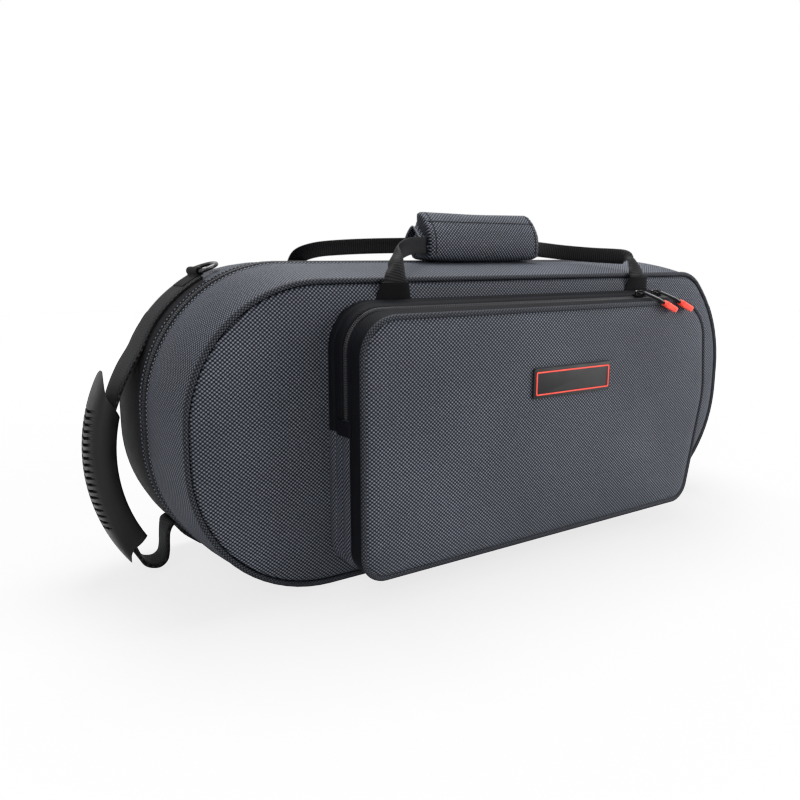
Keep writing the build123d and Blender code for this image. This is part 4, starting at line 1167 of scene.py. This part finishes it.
slot_end = 0.47
slot_depth = 3.4
slot_rise = 0.06
slot_pitch = radians(2.06)
belly = pi + radians(3)
stops = []
slots = [belly + slot_pitch * (i - 9) for i in range(19)]
first_slot = slots[0] - slot_pitch / 2
last_slot = slots[-1] + slot_pitch / 2
for i in range(16):
    stops.append((back_start + (first_slot - back_start) * i / 16, 0, 0))
for middle in slots:
    stops.append((middle, -1.75, 0))
    stops.append((middle, -1.25, 0))
    stops.append((middle, -0.95, 1))
    stops.append((middle, 0.95, 1))
    stops.append((middle, 1.25, 0))
for i in range(1, 17):
    stops.append((last_slot + (back_end - last_slot) * i / 16, 0, 0))

mesh = bmesh.new()
order = mesh.verts.layers.int.new("order")
half_count = 22
verts = []
for i in range(2 * half_count + 1):
    vert = mesh.verts.new((0, 0, 0))
    vert[order] = i
    verts.append(vert)
edges = [mesh.edges.new((verts[i - 1], verts[i])) for i in range(len(verts))]
for n, (turn, aside, sunk) in enumerate(stops):
    if n:
        verts, edges = grow(mesh, edges)
    for vert in verts:
        share = (vert[order] - half_count) / half_count
        near = min(1, abs(share) / slot_end)
        round_end = (1 - near ** 8) ** 0.5
        angle = turn + aside * (0.18 + 0.82 * round_end) / back_radius
        place = (angle - back_start) / (back_end - back_start)
        angle -= slot_rise * min(abs(share), slot_end) * sin(pi * min(1, max(0, place)))
        reach = read_table(reach_by_end, min(place, 1 - place))
        spot = section_point(abs(share) * reach)
        ridge = back_centre + Vector((cos(angle), sin(angle))) * back_radius
        palm_turn = palm_start + (palm_end - palm_start) * min(1, max(0, (place - 0.13) / 0.74))
        palm = palm_centre + Vector((cos(palm_turn), sin(palm_turn))) * palm_radius
        inward = palm - ridge
        deep = spot.x + slot_depth * sunk * round_end
        at_side = spot.y - 2.0 * sunk * round_end * min(1, max(0, (spot.x - 1) / 5))
        spot_on = ridge + inward.normalized() * deep * inward.length / 21
        vert.co = at(spot_on.x, spot_on.y, strap_depth + (at_side if share > 0 else -at_side))
close_ends(mesh)
grip = finish_piece(mesh, "moulded_grip", grip_rubber, "end_handle", ["end_grip"], smooth=40)

# ---------------------------------------------------------------- strap rings
# Two rings of black coated wire for a shoulder strap, each held by its straight side in a folded
# tab of webbing sewn under the end strap and round the narrow end.
ring_wire = 0.00175


def worn_metal(name, scale, detail, worn, dark, light, gloss):
    """Black metal whose coat is rubbed lighter and duller in spots."""
    material, tree, shader = new_material(name)
    wear = add_node(tree, "TexNoise", coordinates(tree, "Object"), None, scale, detail)
    wear = add_node(tree, "MapRange", wear, *worn, 0, 1)
    paint(tree, shader, add_node(tree, "MixRGB", wear, (*dark, 1), (*light, 1)))
    tree.links.new(add_node(tree, "MapRange", wear, 0, 1, *gloss), shader.inputs["Roughness"])
    return material, shader


ring_paint, _ = worn_metal("Black coated wire", 420.0, 3.0, (0.55, 0.72),
                           (0.006, 0.006, 0.007), (0.03, 0.03, 0.032), (0.22, 0.4))


def ring_points(eye, lift, span=31, reach=17, corner=2.4, bow=13):
    """Middle line of a ring, its straight side through the eye and its bow reaching out."""
    outward = Vector((cos(radians(lift)), 0, sin(radians(lift))))
    corners = [(0, -span / 2, corner), (reach, -span / 2, bow), (reach, span / 2, bow), (0, span / 2, corner)]
    flat = []
    for i, (u, v, radius) in enumerate(corners):
        here = Vector((u, v))
        back = (Vector(corners[i - 1][:2]) - here).normalized()
        on = (Vector(corners[(i + 1) % 4][:2]) - here).normalized()
        centre = here + (back + on) * radius
        for step in range(9):
            angle = step / 8 * pi / 2
            flat.append(centre - on * radius * cos(angle) - back * radius * sin(angle))
    return [eye + outward * spot.x / 1000 + Vector((0, spot.y / 1000, 0)) for spot in flat]


for name, node, tab, centre, skin, angle, lift in (
    ("bell_end_ring", "end_ring", "end_ring_tab", bell_centre, 112.9, 117, 20),
    ("narrow_end_ring", "side_ring", "side_ring_tab", (167, 136), 127.9, 2, -78),
):
    body = "ring_at_bell" if node == "end_ring" else "ring_at_side"
    eye = at(*round_corner(centre, skin + 3.43, angle))
    piece = finish_piece(round_cord(ring_points(eye, lift), ring_wire, 10, closed=True), name, ring_paint,
                         body, [node], smooth=80)
    piece = rubbed_smooth(tab, name + "_tab", tab_cloth, "base", 0.0007, 3)

# ---------------------------------------------------------------- sliders and pulls
# Black enamelled sliders run on both zips. Each carries a stamped wire eye and a pull of black cord
# doubled, with a thin grey strand along its top that is a painted highlight, and its ends moulded into a
# coral rubber tip.
enamel, enamel_shader = worn_metal("Black enamel", 900.0, 4.0, (0.6, 0.7),
                                   (0.01, 0.01, 0.011), (0.16, 0.16, 0.165), (0.18, 0.42))
enamel_shader.inputs["Metallic"].default_value = 0.4
pull_cord = ribbed_webbing("Pull cord", (0.003, 0.003, 0.0035), (0.045, 0.045, 0.05), 0.0012)
# Painted highlight: a light grey for the strand that stands for the light along the top of each pull cord.
pull_painted_highlight = soft_rubber("Grey pull painted highlight", (0.3, 0.3, 0.31), 0.4, 0.0001)


def frame_at(foot, along, outward):
    """Places a slider's own frame: its length, its width and its height above the zip."""
    along = along.normalized()
    outward = outward.normalized()
    across = outward.cross(along)
    return Matrix.Translation(foot) @ Matrix((along, across, outward)).transposed().to_4x4()


drape = [(4.6, -1.4, 0.9), (3.0, -6.2, 0.9), (1.4, -14.4, 0.7), (0.6, -20.5, 0.3), (1.0, -24, -0.3)]
drape.append((2.6, -26.6, -1.8))
drape_tip = (14, -29.6, -7)
hanging = [(4.2, 0, 0.8), (9, 0, 1.6), (15, 0, 1.5), (21, 0, 0.6), (27, 0, -0.8)]
hanging_tip = (38, 0, -3.2)
fall = (pocket_taper + pocket_drop) / pocket_depth
tape_up = Vector((0, -fall, 1))
chain_top = 219 - fall * 24 + 0.6
sliders = []
for name, x in (("left", 124), ("right", 146)):
    foot = at(x, chain_top, 99) + tape_up.normalized() * 0.0003
    sliders.append(("pocket_slider_" + name, "pocket_pull_" + name, "pocket_pull_tip_" + name, "pull_" + name,
                    frame_at(foot, Vector((1, 0, 0)), tape_up), drape, drape_tip))
nose_z = 246 - 58 - 128 * tan(atan2(55, 58) / 2)
for name, centre, radius, angle in (("upper", (167, nose_z), 128, 20), ("lower", (177, 118), 118, -30)):
    out = Vector((cos(radians(angle)), 0, sin(radians(angle))))
    foot = at(centre[0], centre[1], 0) + out * (radius + 0.9) / 1000
    sliders.append(("zip_slider_" + name, "zip_pull_" + name, "zip_pull_tip_" + name, "pull_" + name,
                    frame_at(foot, out.cross(Vector((0, -1, 0))), out), hanging, hanging_tip))
for slider, pull, tip, body, place, route, end in sliders:
    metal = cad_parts[slider]
    metal.data.materials.clear()
    metal.data.materials.append(enamel)
    raised = place @ Matrix.Translation((0, 0, 0.00285))
    turns = [2 * pi * i / 20 for i in range(20)]
    eye = [raised @ Vector((0.0034 * (1 + cos(turn)), 0.0034 * sin(turn), 0)) for turn in turns]
    piece = finish_piece(round_cord(eye, 0.00085, 8, closed=True), pull + "_eye", enamel, body,
                         [pull], smooth=80)
    line = smooth_between([raised @ (Vector(p) / 1000) for p in route], 4)
    close = raised @ (Vector(end) / 1000)
    sideways = (line[-1] - line[0]).cross(raised.to_3x3() @ Vector((0, 0, 1))).normalized()
    for hand in (-1, 1):
        strand = [point + sideways * 0.0011 * hand for point in line] + [close]
        piece = finish_piece(round_cord(strand, 0.00115, 8), pull + ("_cord_a" if hand < 0 else "_cord_b"),
                             pull_cord, body, smooth=80)
    # Painted highlight: a thin grey strand laid along the top of the doubled cord, where light would catch
    # it.
    lift = raised.to_3x3() @ Vector((0, 0, 0.00085))
    strand = [point + lift + sideways * 0.0002 for point in line[2:]]
    piece = finish_piece(round_cord(strand, 0.00042, 6), pull + "_edge", pull_painted_highlight, body, smooth=80)
    mesh = rounded_plate((0.015, 0.0084, 0.005), 2, 0.0026, 5)
    flat = [edge for edge in mesh.edges if abs(edge.verts[0].co.z - edge.verts[1].co.z) < 1e-6]
    bmesh.ops.bevel(mesh, geom=flat, offset=0.0013, segments=3, affect="EDGES", profile=0.5, material=-1)
    heading = (close - line[-1]).normalized()
    outward = (raised.to_3x3() @ Vector((0, 0, 1))).normalized()
    outward = (outward - heading * outward.dot(heading)).normalized()
    tip_place = frame_at((close + line[-1] * 0.7) / 1.7, heading, outward)
    bmesh.ops.transform(mesh, matrix=tip_place, verts=mesh.verts)
    piece = finish_piece(mesh, tip + "_rubber", coral, body, [tip], smooth=50)
